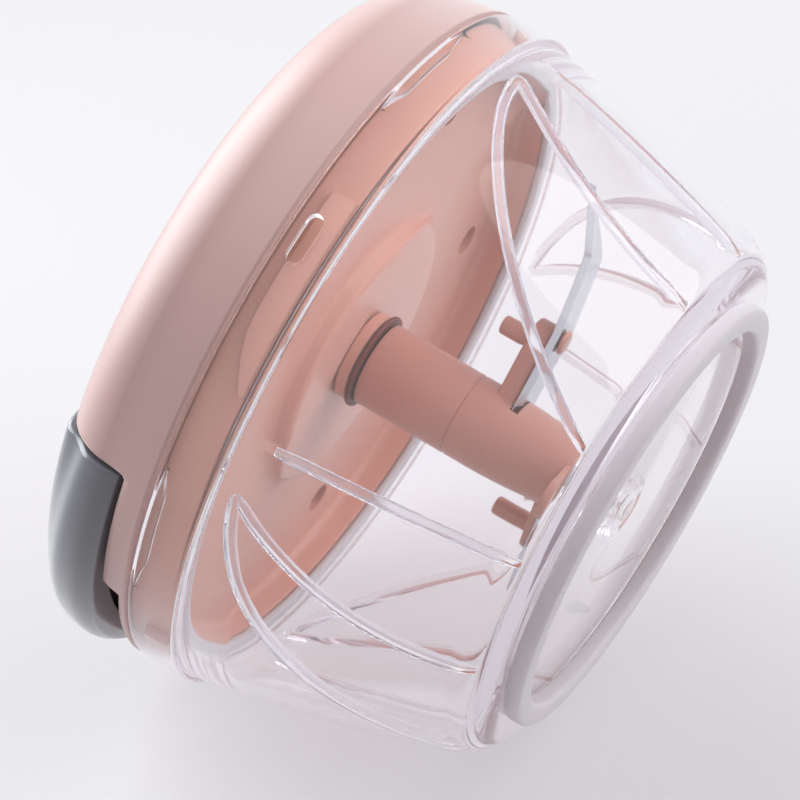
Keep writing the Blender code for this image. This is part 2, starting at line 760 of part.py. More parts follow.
def build_lid_screws():
    """Pan-head screws, one for each post of the cover."""
    steel = material("screw_steel", (0.55, 0.55, 0.57), 0.3, metallic=1.0)
    under_head = WELL_TOP - WELL_WALL - SEAT
    screws = []
    for index, azimuth in enumerate(SCREW_AZIMUTHS):
        screw = turned(f"lid_screw_{index + 1}", [
            (0, screw_top()), (0.5, screw_top()), (SCREW_RADIUS, screw_top() - 1.4), (SCREW_RADIUS, under_head),
            (SCREW_HEAD_RADIUS, under_head), (SCREW_HEAD_RADIUS, under_head - 0.5 * SCREW_HEAD_HEIGHT),
            (0.6 * SCREW_HEAD_RADIUS, under_head - SCREW_HEAD_HEIGHT), (0, under_head - SCREW_HEAD_HEIGHT),
        ], steel, steps=12, closed=False)
        x, y = polar(SCREW_CIRCLE, azimuth)
        screw.location = (x * MM, y * MM, 0)
        screws.append(screw)
    return screws


# Reel, spring and one-way drive

def axle_top():
    return inner_crown() + 0.9


def axle_bottom():
    return REEL_BOTTOM - RUNNING - AXLE_HEAD_HEIGHT


def build_axle():
    steel = material("axle_steel", (0.60, 0.60, 0.62), 0.25, metallic=1.0)
    low = axle_bottom()
    return turned("lid_axle", [
        (0, axle_top()), (AXLE_RADIUS - 0.5, axle_top()), (AXLE_RADIUS, axle_top() - 0.5),
        (AXLE_RADIUS, low + AXLE_HEAD_HEIGHT), (AXLE_HEAD_RADIUS, low + AXLE_HEAD_HEIGHT),
        (AXLE_HEAD_RADIUS, low + 0.4), (AXLE_HEAD_RADIUS - 0.6, low), (0, low),
    ], steel, steps=20, closed=False)


def winding_radius():
    """Radius of the cord's middle line where it lies on the reel."""
    return REEL_CORE + SEAT + CORD_RADIUS


def cord_height():
    """Height at which the cord leaves the reel, under its upper flange."""
    return REEL_TOP - REEL_FLANGE_THICKNESS - SEAT - CORD_RADIUS


def build_reel():
    cream = material("reel_plastic", (0.80, 0.78, 0.74), 0.5)
    low, high = REEL_BOTTOM, REEL_TOP
    reel = turned("cord_reel", [
        (REEL_FLANGE, high), (REEL_FLANGE, high - REEL_FLANGE_THICKNESS),
        (REEL_CORE, high - REEL_FLANGE_THICKNESS), (REEL_CORE, low + REEL_FLANGE_THICKNESS),
        (REEL_FLANGE, low + REEL_FLANGE_THICKNESS), (REEL_FLANGE, low),
        (AXLE_RADIUS + RUNNING, low), (AXLE_RADIUS + RUNNING, SLEEVE_TOP),
        (SLEEVE_RADIUS, SLEEVE_TOP), (SLEEVE_RADIUS, high),
    ], cream, steps=36)
    for index in range(2):
        x, y = polar(PAWL_CIRCLE, 180.0 * index)
        pin = rod(
            f"pawl_pin_{index + 1}", (x, y, pawl_bottom() - 0.2), (x, y, low + 0.6),
            PAWL_PIN_RADIUS, helper=True, steps=16,
        )
        join(reel, pin, pin.name)
    return reel


def hub_top():
    """Upper face of the drive hub's disc, which the pawls turn over."""
    return dish_floor() + BASE_PLATE + RUNNING + HUB_DISC


def pawl_bottom():
    return REEL_BOTTOM - RUNNING - PAWL_THICKNESS


def spring_bottom():
    return REEL_TOP + RUNNING + SPRING_DISC + SEAT


def build_spring_disc():
    steel = material("spring_disc_steel", (0.58, 0.58, 0.60), 0.35, metallic=1.0)
    low = REEL_TOP + RUNNING
    return turned("spring_disc", [
        (SPRING_OUTER + 1.2 + SPRING_CASE_WALL, low + SPRING_DISC), (SPRING_OUTER + 1.2 + SPRING_CASE_WALL, low),
        (SLEEVE_RADIUS + RUNNING, low), (SLEEVE_RADIUS + RUNNING, low + SPRING_DISC),
    ], steel, steps=32)


def build_return_spring():
    """A flat strip wound in a spiral from the reel's sleeve to the case wall."""
    steel = material("spring_steel", (0.45, 0.46, 0.50), 0.3, metallic=1.0)
    low, high = spring_bottom() + 0.1, spring_bottom() + SPRING_HEIGHT - 0.1
    sections = []
    count = SPRING_TURNS * 16 + 1
    for share in shares(count):
        angle = 360.0 * SPRING_TURNS * share
        radius = lerp(SPRING_INNER, SPRING_OUTER, share)
        inner = polar(radius - SPRING_STRIP / 2, angle)
        outer = polar(radius + SPRING_STRIP / 2, angle)
        sections.append([(*inner, low), (*outer, low), (*outer, high), (*inner, high)])
    gap = (SPRING_OUTER - SPRING_INNER) / SPRING_TURNS - SPRING_STRIP
    print(f"return_spring: least gap to itself {gap:.2f} mm")
    return lofted("return_spring", sections, steel)


def ratchet_outline():
    """Saw teeth that point inward, with their steep sides facing the pawls."""
    outline = []
    pitch = 360.0 / RATCHET_TEETH
    first = PAWL_TIP_AZIMUTH + 3.4
    for tooth in range(RATCHET_TEETH):
        start = first + pitch * tooth
        outline.append(polar(RATCHET_ROOT, start - 0.8))
        outline.append(polar(RATCHET_TIP, start))
        outline.append(polar(RATCHET_TIP, start + 3.0))
        outline.append(polar(0.5 * (RATCHET_TIP + RATCHET_ROOT), start + 0.5 * pitch))
    return outline


def build_drive_hub():
    white = material("hub_plastic", (0.82, 0.80, 0.78), 0.45)
    top = hub_top()
    hub = turned("drive_hub", [
        (0, top), (RATCHET_RADIUS, top), (RATCHET_RADIUS, top - HUB_DISC),
        (SPIGOT_RADIUS, top - HUB_DISC), (SPIGOT_RADIUS, column_top() + WASHER_HEIGHT + 0.2),
        (0, column_top() + WASHER_HEIGHT + 0.2),
    ], white, steps=32, closed=False)
    wall = prism(
        "ratchet_wall", circle(RATCHET_RADIUS, steps=32), top - 0.5, top + RATCHET_HEIGHT, helper=True,
    )
    teeth = prism("ratchet_teeth", ratchet_outline(), top - 1.5, top + RATCHET_HEIGHT + 1, helper=True)
    cut(wall, teeth, teeth.name)
    join(hub, wall, wall.name)
    hexagon = prism(
        "drive_hexagon", circle(HEX_RADIUS - SEAT, steps=6), column_top() - HEX_DEPTH + SEAT,
        column_top() + WASHER_HEIGHT + 1, helper=True,
    )
    join(hub, hexagon, hexagon.name)
    return hub


def build_pawls():
    """Two pawls that hang on the reel's pins and lean out against the ratchet teeth."""
    brass = material("pawl_plastic", (0.35, 0.36, 0.40), 0.4)
    low = pawl_bottom()
    tip = polar(PAWL_TIP_RADIUS, PAWL_TIP_AZIMUTH)
    heel = polar(PAWL_TIP_RADIUS - PAWL_TIP_DEPTH, PAWL_TIP_AZIMUTH - 1)
    lean = math.degrees(math.atan2(tip[1], tip[0] - PAWL_CIRCLE))
    pawls = []
    for index in range(2):
        outline = [tip, heel]
        for step in range(9):
            angle = math.radians(lean + 90 + 22.5 * step)
            outline.append((
                PAWL_CIRCLE + PAWL_EYE_RADIUS * math.cos(angle), PAWL_EYE_RADIUS * math.sin(angle),
            ))
        outline = [(x - PAWL_CIRCLE, y) for x, y in outline]
        pawl = prism(f"pawl_{index + 1}", outline, low, low + PAWL_THICKNESS, brass)
        eye = rod(
            f"pawl_eye_{index + 1}", (0, 0, low - 1), (0, 0, low + PAWL_THICKNESS + 1),
            PAWL_PIN_RADIUS + SEAT, helper=True, steps=16,
        )
        cut(pawl, eye, eye.name)
        x, y = polar(PAWL_CIRCLE, 180.0 * index)
        for piece in (pawl, eye):
            piece.location = (x * MM, y * MM, 0)
            piece.rotation_euler = (0, 0, math.radians(180.0 * index))
        pawls.append(pawl)
    return pawls


# Cord

def tangent_azimuth():
    """Where the cord leaves the reel on its way to the guide, which lies straight in front of the axis."""
    return -90.0 - math.degrees(math.acos(winding_radius() / (POCKET_RADIUS - POCKET_WALL)))


def cord(name, points, surface):
    """A round cord through points, with closed ends."""
    curve = bpy.data.curves.new(name, "CURVE")
    curve.dimensions = "3D"
    curve.bevel_depth = CORD_RADIUS * MM
    curve.bevel_resolution = 1 if len(points) > 40 else 2
    curve.use_fill_caps = True
    spline = curve.splines.new("POLY")
    spline.points.add(len(points) - 1)
    for place, point in zip(spline.points, points):
        place.co = (point[0] * MM, point[1] * MM, point[2] * MM, 1.0)
    made = bpy.data.objects.new(name, curve)
    curve.materials.append(surface)
    bpy.context.collection.objects.link(made)
    return made


def build_cord():
    white = material("cord_white", (0.86, 0.86, 0.87), 0.8)
    start = tangent_azimuth()
    drop = 2 * CORD_RADIUS + CORD_GAP
    count = round(WINDING_TURNS * LOOP_POINTS) + 1
    loops = []
    for share in shares(count):
        angle = start - 360.0 * WINDING_TURNS * share
        loops.append((*polar(winding_radius(), angle), cord_height() - drop * WINDING_TURNS * share))
    print(f"cord_winding: least gap to itself {drop - 2 * CORD_RADIUS:.2f} mm")
    winding = cord("cord_winding", loops, white)
    leave = Vector((*polar(winding_radius(), start), cord_height()))
    guide = Vector((0, -(POCKET_RADIUS - POCKET_WALL), cord_height()))
    away = (guide - leave).normalized()
    first = leave + away * 11.0
    last = Vector((0, -POCKET_RADIUS - 0.1, cord_height()))
    before = guide - away * 3.5
    lead = [tuple(first.lerp(before, t)) for t in shares(4)]
    lead += bend(tuple(before), (0, before.y - 2.4, cord_height()), tuple(last), 4)[1:]
    lead_cord = cord("cord_lead", lead, white)
    tail_start = -POCKET_RADIUS - 0.1 - SEAT
    tail_end = -knot_centre() + KNOT_RADIUS
    tail = cord("cord_tail", [(0, lerp(tail_start, tail_end + SEAT, t), cord_height()) for t in shares(4)], white)
    return winding, lead_cord, tail


def knot_centre():
    """How far in front of the axis the cord's end knot sits, just past the handle's back plate."""
    return handle_inner() + HANDLE_BACK + SEAT + KNOT_RADIUS + SEAT


def build_cord_guide():
    """A flanged eyelet in the pocket's back wall."""
    nylon = material("guide_nylon", (0.85, 0.84, 0.82), 0.4)
    bore = CORD_RADIUS + 0.6
    length = POCKET_WALL + 2 * SEAT
    outline = [
        (GUIDE_RADIUS + 1.0, -0.5 * POCKET_WALL - SEAT - GUIDE_FLANGE),
        (GUIDE_RADIUS + 1.0, -0.5 * POCKET_WALL - SEAT),
        (GUIDE_RADIUS, -0.5 * POCKET_WALL - SEAT),
        (GUIDE_RADIUS, 0.5 * POCKET_WALL - 0.2),
        (bore, 0.5 * POCKET_WALL - 0.2),
        (bore, -0.5 * length),
        (bore + 0.8, -0.5 * POCKET_WALL - SEAT - GUIDE_FLANGE),
    ]
    guide = turned("cord_guide", outline, nylon, steps=20)
    guide.rotation_euler = (math.radians(90), 0, 0)
    guide.location = (0, -(POCKET_RADIUS - 0.5 * POCKET_WALL) * MM, cord_height() * MM)
    return guide


def build_knot():
    """The stop at the end of the cord, a bead that the knot is drawn into."""
    white = material("bead_white", (0.84, 0.84, 0.85), 0.6)
    outline = []
    for step in range(9):
        angle = math.pi * (0.5 - step / 8)
        outline.append((max(0.0, KNOT_RADIUS * math.cos(angle)) if 0 < step < 8 else 0.0, KNOT_RADIUS * math.sin(angle)))
    bead = turned("cord_stop", outline, white, steps=16, closed=False)
    bead.location = (0, -knot_centre() * MM, cord_height() * MM)
    return bead


# Handle

def handle_inner():
    return POCKET_RADIUS + HANDLE_GAP


def handle_bottom():
    return POCKET_FLOOR + 0.8


def handle_top(radius):
    """Height of the handle's top at a radius, just proud of the cover's crown and shoulder."""
    if radius <= CROWN_RADIUS:
        rise = CROWN_RISE * (1 - (radius / CROWN_RADIUS) ** 2)
        return CROWN_HEIGHT + rise + HANDLE_RISE
    reach = min(1.0, (radius - CROWN_RADIUS) / (SHOULDER_RADIUS + 3 - CROWN_RADIUS))
    return SHOULDER_HEIGHT + (CROWN_HEIGHT - SHOULDER_HEIGHT) * math.sqrt(max(0.0, 1 - reach * reach)) + HANDLE_RISE


def handle_section(azimuth, inner):
    """The grip's closed (radius, height) outline at an azimuth: fuller and lower in front at the middle."""
    middle = math.cos(0.5 * math.pi * azimuth / HANDLE_HALF_ANGLE)
    outer = HANDLE_RADIUS + HANDLE_BULGE * middle
    low = handle_bottom()
    height = CROWN_HEIGHT - low
    return [
        (inner, low),
        (outer - 2.6, low),
        (outer - 0.8, low + 0.05 * height),
        (outer, low + 0.19 * height),
        (outer - 0.1, low + 0.36 * height),
        (outer - 1.0, low + (0.53 + 0.06 * middle) * height),
        (outer - 3.2, low + (0.7 + 0.06 * middle) * height),
        (lerp(inner, outer, 0.6), handle_top(lerp(inner, outer, 0.6))),
        (lerp(inner, outer, 0.3), handle_top(lerp(inner, outer, 0.3))),
        (inner, handle_top(inner)),
    ]


def handle_solid(name, inner, outer, surface, half_angle):
    """The grip between two radii. Without an outer radius it runs to its own curved front."""
    sections = []
    for share in shares(13):
        azimuth = lerp(-half_angle, half_angle, share)
        if outer is None:
            section = handle_section(azimuth, inner)
        else:
            section = [
                (inner, handle_bottom()), (outer, handle_bottom()),
                (outer, handle_top(outer)), (inner, handle_top(inner)),
            ]
        sections.append([(*polar(radius, azimuth - 90), height) for radius, height in section])
    return lofted(name, sections, surface)


def build_handle():
    grey = material("handle_grey", (0.16, 0.17, 0.20), 0.4)
    plate = material("handle_back_grey", (0.13, 0.14, 0.16), 0.5)
    split = handle_inner() + HANDLE_BACK
    grip = handle_solid("handle_grip", split + SEAT, None, grey, HANDLE_HALF_ANGLE)
    rounding = grip.modifiers.new("edge_rounding", "BEVEL")
    rounding.width = 0.7 * MM
    rounding.segments = 2
    rounding.limit_method = "ANGLE"
    rounding.angle_limit = math.radians(55)
    hollow = prism(
        "grip_hollow",
        sector(split + 3.5, HANDLE_RADIUS - GRIP_LIP, -90, GRIP_HOLLOW_ANGLE, 8),
        handle_bottom() - 2, handle_bottom() + GRIP_HOLLOW_DEPTH, helper=True,
    )
    cut(grip, hollow, hollow.name)
    chamber = rod(
        "knot_chamber", (0, -split - SEAT + 2, cord_height()), (0, -knot_centre() - KNOT_RADIUS - SEAT, cord_height()),
        KNOT_RADIUS + SEAT, helper=True,
    )
    cut(grip, chamber, chamber.name)
    back = handle_solid("handle_back", handle_inner(), split, plate, HANDLE_HALF_ANGLE - 0.6)
    bore = rod(
        "handle_bore", (0, -handle_inner() + 2, cord_height()), (0, -split - 2, cord_height()),
        CORD_RADIUS + SEAT, helper=True, steps=16,
    )
    cut(back, bore, bore.name)
    return grip, back


# Blade column

def column_top():
    return dish_floor() - SEAT - COLLAR_HEIGHT - SEAT - WASHER_HEIGHT - SEAT


def build_collar():
    pink = material("collar_pink", (0.60, 0.36, 0.33), 0.45)
    high = dish_floor() - SEAT
    return turned("hub_collar", [
        (COLLAR_RADIUS - 0.3, high), (COLLAR_RADIUS, high - 0.3), (COLLAR_RADIUS, high - COLLAR_HEIGHT),
        (SPIGOT_RADIUS + SEAT, high - COLLAR_HEIGHT), (SPIGOT_RADIUS + SEAT, high),
    ], pink, steps=28)


def build_washer():
    brown = material("washer_brown", (0.14, 0.04, 0.03), 0.5)
    high = column_top() + SEAT + WASHER_HEIGHT
    return turned("shaft_washer", [
        (WASHER_RADIUS, high), (WASHER_RADIUS, high - WASHER_HEIGHT),
        (SPIGOT_RADIUS + SEAT, high - WASHER_HEIGHT), (SPIGOT_RADIUS + SEAT, high),
    ], brown, steps=28)


def build_column():
    pink = material("column_pink", (0.58, 0.33, 0.30), 0.42)
    outline = [(0, column_top()), (COLUMN_RADIUS - 0.3, column_top()), (COLUMN_RADIUS, column_top() - 0.3)]
    outline += [
        (COLUMN_RADIUS, COLUMN_JOINT + 0.3), (COLUMN_RADIUS - 0.25, COLUMN_JOINT),
        (COLUMN_RADIUS, COLUMN_JOINT - 0.3), (COLUMN_RADIUS, OGIVE_TOP),
    ]
    for step in range(1, 7):
        angle = 0.5 * math.pi * step / 6
        outline.append((
            lerp(COLUMN_TIP_RADIUS, COLUMN_RADIUS, math.cos(angle) ** 0.85),
            lerp(OGIVE_TOP, COLUMN_BOTTOM, math.sin(angle) ** 1.15),
        ))
    outline.append((0, COLUMN_BOTTOM))
    column = turned("blade_column", outline, pink, steps=28, closed=False)
    lug = prism("front_lug", arm_outline(LUG_REACH), LUG_HEIGHT, LUG_HEIGHT + ARM_THICKNESS, helper=True)
    lug.rotation_euler = (0, 0, math.radians(LUG_AZIMUTH))
    join(column, lug, lug.name)
    for name, height, azimuth, _, _ in blade_places():
        low = height + BLADE_THICKNESS / 2 + SEAT
        under = height - BLADE_THICKNESS / 2 - SEAT
        arm = prism(f"{name}_arm", arm_outline(ARM_REACH), low, low + ARM_THICKNESS, helper=True)
        peg = rod(
            f"{name}_peg", (PEG_CIRCLE, 0, low + 1.0), (PEG_CIRCLE, 0, low + ARM_THICKNESS + PEG_HEIGHT),
            PEG_RADIUS, helper=True, steps=16,
        )
        stake = turned(f"{name}_stake", [
            (0, low + 1.6), (STAKE_RADIUS, low + 1.6), (STAKE_RADIUS, under), (STAKE_HEAD_RADIUS, under),
            (STAKE_HEAD_RADIUS - 0.4, under - STAKE_HEAD_HEIGHT), (0, under - STAKE_HEAD_HEIGHT),
        ], steps=12, closed=False, helper=True)
        stake.location = (STAKE_CIRCLE * math.cos(math.radians(azimuth)) * MM,
                          STAKE_CIRCLE * math.sin(math.radians(azimuth)) * MM, 0)
        slot = prism(f"{name}_slot", [
            (BLADE_ROOT - SEAT, -blade_half() - SEAT), (COLUMN_RADIUS + 1, -blade_half() - SEAT),
            (COLUMN_RADIUS + 1, blade_half() + SEAT), (BLADE_ROOT - SEAT, blade_half() + SEAT),
        ], under, low, helper=True)
        for piece in (arm, peg, slot):
            piece.rotation_euler = (0, 0, math.radians(azimuth))
        join(column, arm, arm.name)
        join(column, peg, peg.name)
        cut(column, slot, slot.name)
        join(column, stake, stake.name)
    socket = prism(
        "hex_socket", circle(HEX_RADIUS, steps=6), column_top() - HEX_DEPTH, column_top() + 1, helper=True,
    )
    cut(column, socket, socket.name)
    bore = rod(
        "pivot_bore", (0, 0, COLUMN_BOTTOM - 1), (0, 0, pin_top() + SEAT), PIN_RADIUS + RUNNING,
        helper=True, steps=16,
    )
    cut(column, bore, bore.name)
    return column


def arm_outline(reach):
    """An arm in plan, from inside the column to its round end."""
    half = ARM_WIDTH / 2
    outline = [(PIN_RADIUS + RUNNING + 0.7, -half), (reach - half, -half)]
    for step in range(1, 6):
        angle = math.radians(-90 + 30 * step)
        outline.append((reach - half + half * math.cos(angle), half * math.sin(angle)))
    return outline + [(reach - half, half), (PIN_RADIUS + RUNNING + 0.7, half)]


def blade_half():
    """Half the width of a blade's parallel root."""
    return BLADE_WIDTH / 2


def blade_places():
    """Name, root height, azimuth, length and rise towards the tip, which keeps its gap to the wall there."""
    places = []
    for name, height, azimuth, gap, lift in (
        ("upper", UPPER_BLADE_HEIGHT, UPPER_BLADE_AZIMUTH, UPPER_BLADE_GAP, UPPER_BLADE_LIFT),
        ("lower", LOWER_BLADE_HEIGHT, LOWER_BLADE_AZIMUTH, LOWER_BLADE_GAP, LOWER_BLADE_LIFT),
    ):
        places.append((name, height, azimuth, inner_radius(height + lift) - gap, lift))
    return places


def smooth(share):
    """Eases a share from 0 to 1 with no slope at either end."""
    share = min(1.0, max(0.0, share))
    return share * share * (3 - 2 * share)


def fold_share(out):
    """Share of a blade's rise: a gentle slope up to the fold, then a steeper one up to the tip."""
    if out <= BLADE_FOLD:
        return BLADE_SLOPE * max(0.0, out) / BLADE_FOLD
    return lerp(BLADE_SLOPE, 1.0, (out - BLADE_FOLD) / (1 - BLADE_FOLD))


def build_blades():
    """Blades with a ground edge and a folded end that narrows to a hooked point."""
    steel = material("blade_steel", (0.70, 0.71, 0.73), 0.18, metallic=1.0)
    blades = []
    for name, height, azimuth, length, rise in blade_places():
        sections = []
        for share in shares(15):
            reach = lerp(BLADE_ROOT, length, share)
            out = (reach - BLADE_BEND_START) / (length - BLADE_BEND_START)
            lift = rise * fold_share(out)
            curve = BLADE_HOOK * max(0.0, out) ** 2
            front = -blade_half() - curve
            back = blade_half() - curve - (BLADE_WIDTH - BLADE_TIP_WIDTH) * smooth(2.2 * out - 1.2)
            grind = min(BLADE_GRIND, 0.6 * (back - front))
            low, high = height + lift - BLADE_THICKNESS / 2, height + lift + BLADE_THICKNESS / 2
            sections.append([
                (reach, back, low), (reach, front + grind, low), (reach, front, high - 0.2),
                (reach, front, high), (reach, back, high),
            ])
        blade = lofted(f"{name}_blade", sections, steel)
        blade.rotation_euler = (0, 0, math.radians(azimuth))
        hole = rod(
            f"{name}_stake_hole", (STAKE_CIRCLE, 0, height - 2), (STAKE_CIRCLE, 0, height + 2),
            STAKE_RADIUS + SEAT, helper=True, steps=12,
        )
        hole.rotation_euler = (0, 0, math.radians(azimuth))
        cut(blade, hole, hole.name)
        blades.append(blade)
    return blades


def main():
    clear_scene()
    fixed = [build_bowl(), build_foot_ring(), build_bowl_pin()]
    seal = build_seal()
    lid = [build_lid_base(), build_lid_cover(), *build_lid_screws(), build_axle()]
    lid += [build_spring_disc(), build_return_spring(), build_cord_guide()]
    winding, lead, tail = build_cord()
    lid.append(lead)
    reel = [build_reel(), winding]
    build_pawls()
    grip, back = build_handle()
    handle = [grip, back, build_knot(), tail]
    drive = [build_drive_hub(), build_collar(), build_washer(), build_column(), *build_blades()]
    hang(fixed, pivot("bowl_frame", 0, 0, 0))
    hang([seal], pivot("seal_slide", 0, 0, LEDGE_HEIGHT))
    hang(lid, pivot("lid_twist_axis", 0, 0, cover_bottom()))
    hang(reel, pivot("reel_axis", 0, 0, REEL_BOTTOM))
    hang(handle, pivot("handle_slide", 0, -POCKET_RADIUS, cord_height()))
    hang(drive, pivot("drive_axis", 0, 0, column_top()))


main()
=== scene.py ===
import math

import bmesh
import bpy
from mathutils import Matrix, Vector


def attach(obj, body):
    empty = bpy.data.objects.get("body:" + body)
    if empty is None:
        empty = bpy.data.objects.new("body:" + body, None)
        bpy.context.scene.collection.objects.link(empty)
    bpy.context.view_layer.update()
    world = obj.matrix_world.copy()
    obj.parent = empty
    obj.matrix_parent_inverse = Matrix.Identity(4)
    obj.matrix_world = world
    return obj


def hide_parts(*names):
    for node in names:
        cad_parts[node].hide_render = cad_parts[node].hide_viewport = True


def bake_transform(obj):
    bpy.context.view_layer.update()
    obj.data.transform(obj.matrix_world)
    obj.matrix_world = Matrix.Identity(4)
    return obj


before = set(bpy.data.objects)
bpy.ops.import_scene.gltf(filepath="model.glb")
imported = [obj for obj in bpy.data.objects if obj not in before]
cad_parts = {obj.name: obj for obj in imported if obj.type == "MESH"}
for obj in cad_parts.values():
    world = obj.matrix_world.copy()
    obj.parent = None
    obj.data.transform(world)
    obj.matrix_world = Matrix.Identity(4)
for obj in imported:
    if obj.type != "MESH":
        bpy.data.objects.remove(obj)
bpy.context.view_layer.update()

mm = 0.001


# Small helpers

def lerp(a, b, t):
    return a + (b - a) * t


def srgb(red, green, blue):
    # a screen colour of 0 to 255 as the linear colour that a shader takes
    return tuple((c / 12.92 if c <= 0.04045 else ((c + 0.055) / 1.055) ** 2.4)
                 for c in (red / 255, green / 255, blue / 255)) + (1.0,)


def polar(radius, azimuth, height=0.0):
    return Vector((radius * math.cos(math.radians(azimuth)), radius * math.sin(math.radians(azimuth)), height))


def bend(start, corner, end, steps):
    # a quadratic curve from start to end, pulled towards corner
    return [tuple((1 - t) ** 2 * a + 2 * t * (1 - t) * b + t * t * c for a, b, c in zip(start, corner, end))
            for t in (step / steps for step in range(steps + 1))]


def rounded(points, radii, steps=4):
    # a closed outline with its corners rounded: radii holds one radius for each point, 0 for a corner left as it is
    result = []
    count = len(points)
    for i, (point, radius) in enumerate(zip(points, radii)):
        here = Vector(point)
        before, after = Vector(points[i - 1]), Vector(points[(i + 1) % count])
        if radius <= 0:
            result.append(tuple(here))
            continue
        toBefore, toAfter = before - here, after - here
        reach = min(radius, 0.48 * toBefore.length, 0.48 * toAfter.length)
        result += bend(here + toBefore.normalized() * reach, here, here + toAfter.normalized() * reach, steps)
    return result


def meshObject(name, bm, material=None, sharp=35.0, scale=mm):
    bmesh.ops.remove_doubles(bm, verts=bm.verts, dist=1e-5)
    bmesh.ops.recalc_face_normals(bm, faces=bm.faces)
    bmesh.ops.scale(bm, vec=(scale, scale, scale), verts=bm.verts)
    mesh = bpy.data.meshes.new(name)
    bm.to_mesh(mesh)
    bm.free()
    mesh.shade_smooth()
    mesh.set_sharp_from_angle(angle=math.radians(sharp))
    made = bpy.data.objects.new(name, mesh)
    bpy.context.collection.objects.link(made)
    if material:
        mesh.materials.append(material)
    return made


def lathe(name, outline, material=None, steps=160, closed=True, sharp=35.0):
    # outline of (radius, height) turned about Z; an open one starts and ends on the axis
    bm = bmesh.new()
    points = [bm.verts.new((radius, 0, height)) for radius, height in outline]
    pairs = list(zip(points, points[1:])) + ([(points[-1], points[0])] if closed else [])
    edges = [bm.edges.new(pair) for pair in pairs]
    bmesh.ops.spin(bm, geom=points + edges, cent=(0, 0, 0), axis=(0, 0, 1), angle=2 * math.pi,
                   steps=steps, use_merge=True)
    return meshObject(name, bm, material, sharp)


def loft(name, sections, material=None, sharp=35.0):
    bm = bmesh.new()
    rings = [[bm.verts.new(point) for point in section] for section in sections]
    for ring, following in zip(rings, rings[1:]):
        for i in range(len(ring)):
            j = (i + 1) % len(ring)
            bm.faces.new((ring[i], ring[j], following[j], following[i]))
    bm.faces.new(rings[0])
    bm.faces.new(rings[-1])
    return meshObject(name, bm, material, sharp)


def prism(name, outline, low, high, material=None):
    return loft(name, [[(x, y, z) for x, y in outline] for z in (low, high)], material)


def rod(name, start, end, radius, steps=48):
    start, end = Vector(start), Vector(end)
    turn = (end - start).to_track_quat("Z", "Y")
    ring = [Vector((radius * math.cos(2 * math.pi * i / steps), radius * math.sin(2 * math.pi * i / steps), 0))
            for i in range(steps)]
    return loft(name, [[tuple(place + turn @ point) for point in ring] for place in (start, end)])


def sector(inner, outer, azimuth, halfAngle, steps):
    angles = [azimuth - halfAngle + 2 * halfAngle * i / steps for i in range(steps + 1)]
    return [tuple(polar(outer, a).xy) for a in angles] + [tuple(polar(inner, a).xy) for a in reversed(angles)]


def applied(piece, sharp=35.0, material=None):
    # the piece as its modifiers make it, as a plain mesh at the origin
    bpy.context.view_layer.update()
    graph = bpy.context.evaluated_depsgraph_get()
    mesh = bpy.data.meshes.new_from_object(piece.evaluated_get(graph), depsgraph=graph)
    mesh.transform(piece.matrix_world)
    name = piece.name
    bpy.data.objects.remove(piece, do_unlink=True)
    mesh.name = name
    mesh.shade_smooth()
    mesh.set_sharp_from_angle(angle=math.radians(sharp))
    made = bpy.data.objects.new(name, mesh)
    bpy.context.collection.objects.link(made)
    if material:
        mesh.materials.clear()
        mesh.materials.append(material)
        mesh.polygons.foreach_set("material_index", [0] * len(mesh.polygons))
    return made


def boolean(piece, others, operation, sharp=35.0, material=None):
    # joins or cuts the other pieces one after another, then drops them
    for other in others:
        tool = piece.modifiers.new("tool", "BOOLEAN")
        tool.operation = operation
        tool.object = other
    made = applied(piece, sharp, material)
    for other in others:
        bpy.data.objects.remove(other, do_unlink=True)
    return made


def softened(piece, width, segments=2, angle=40.0):
    edge = piece.modifiers.new("edge", "BEVEL")
    edge.width = width * mm
    edge.segments = segments
    edge.limit_method = "ANGLE"
    edge.angle_limit = math.radians(angle)
    edge.use_clamp_overlap = True
    edge.harden_normals = False
    return piece


def place(piece, body, slot, *nodes):
    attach(piece, body)
    if nodes:
        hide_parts(*nodes)
    return piece


# Geometry node tree that copies one piece round the axis

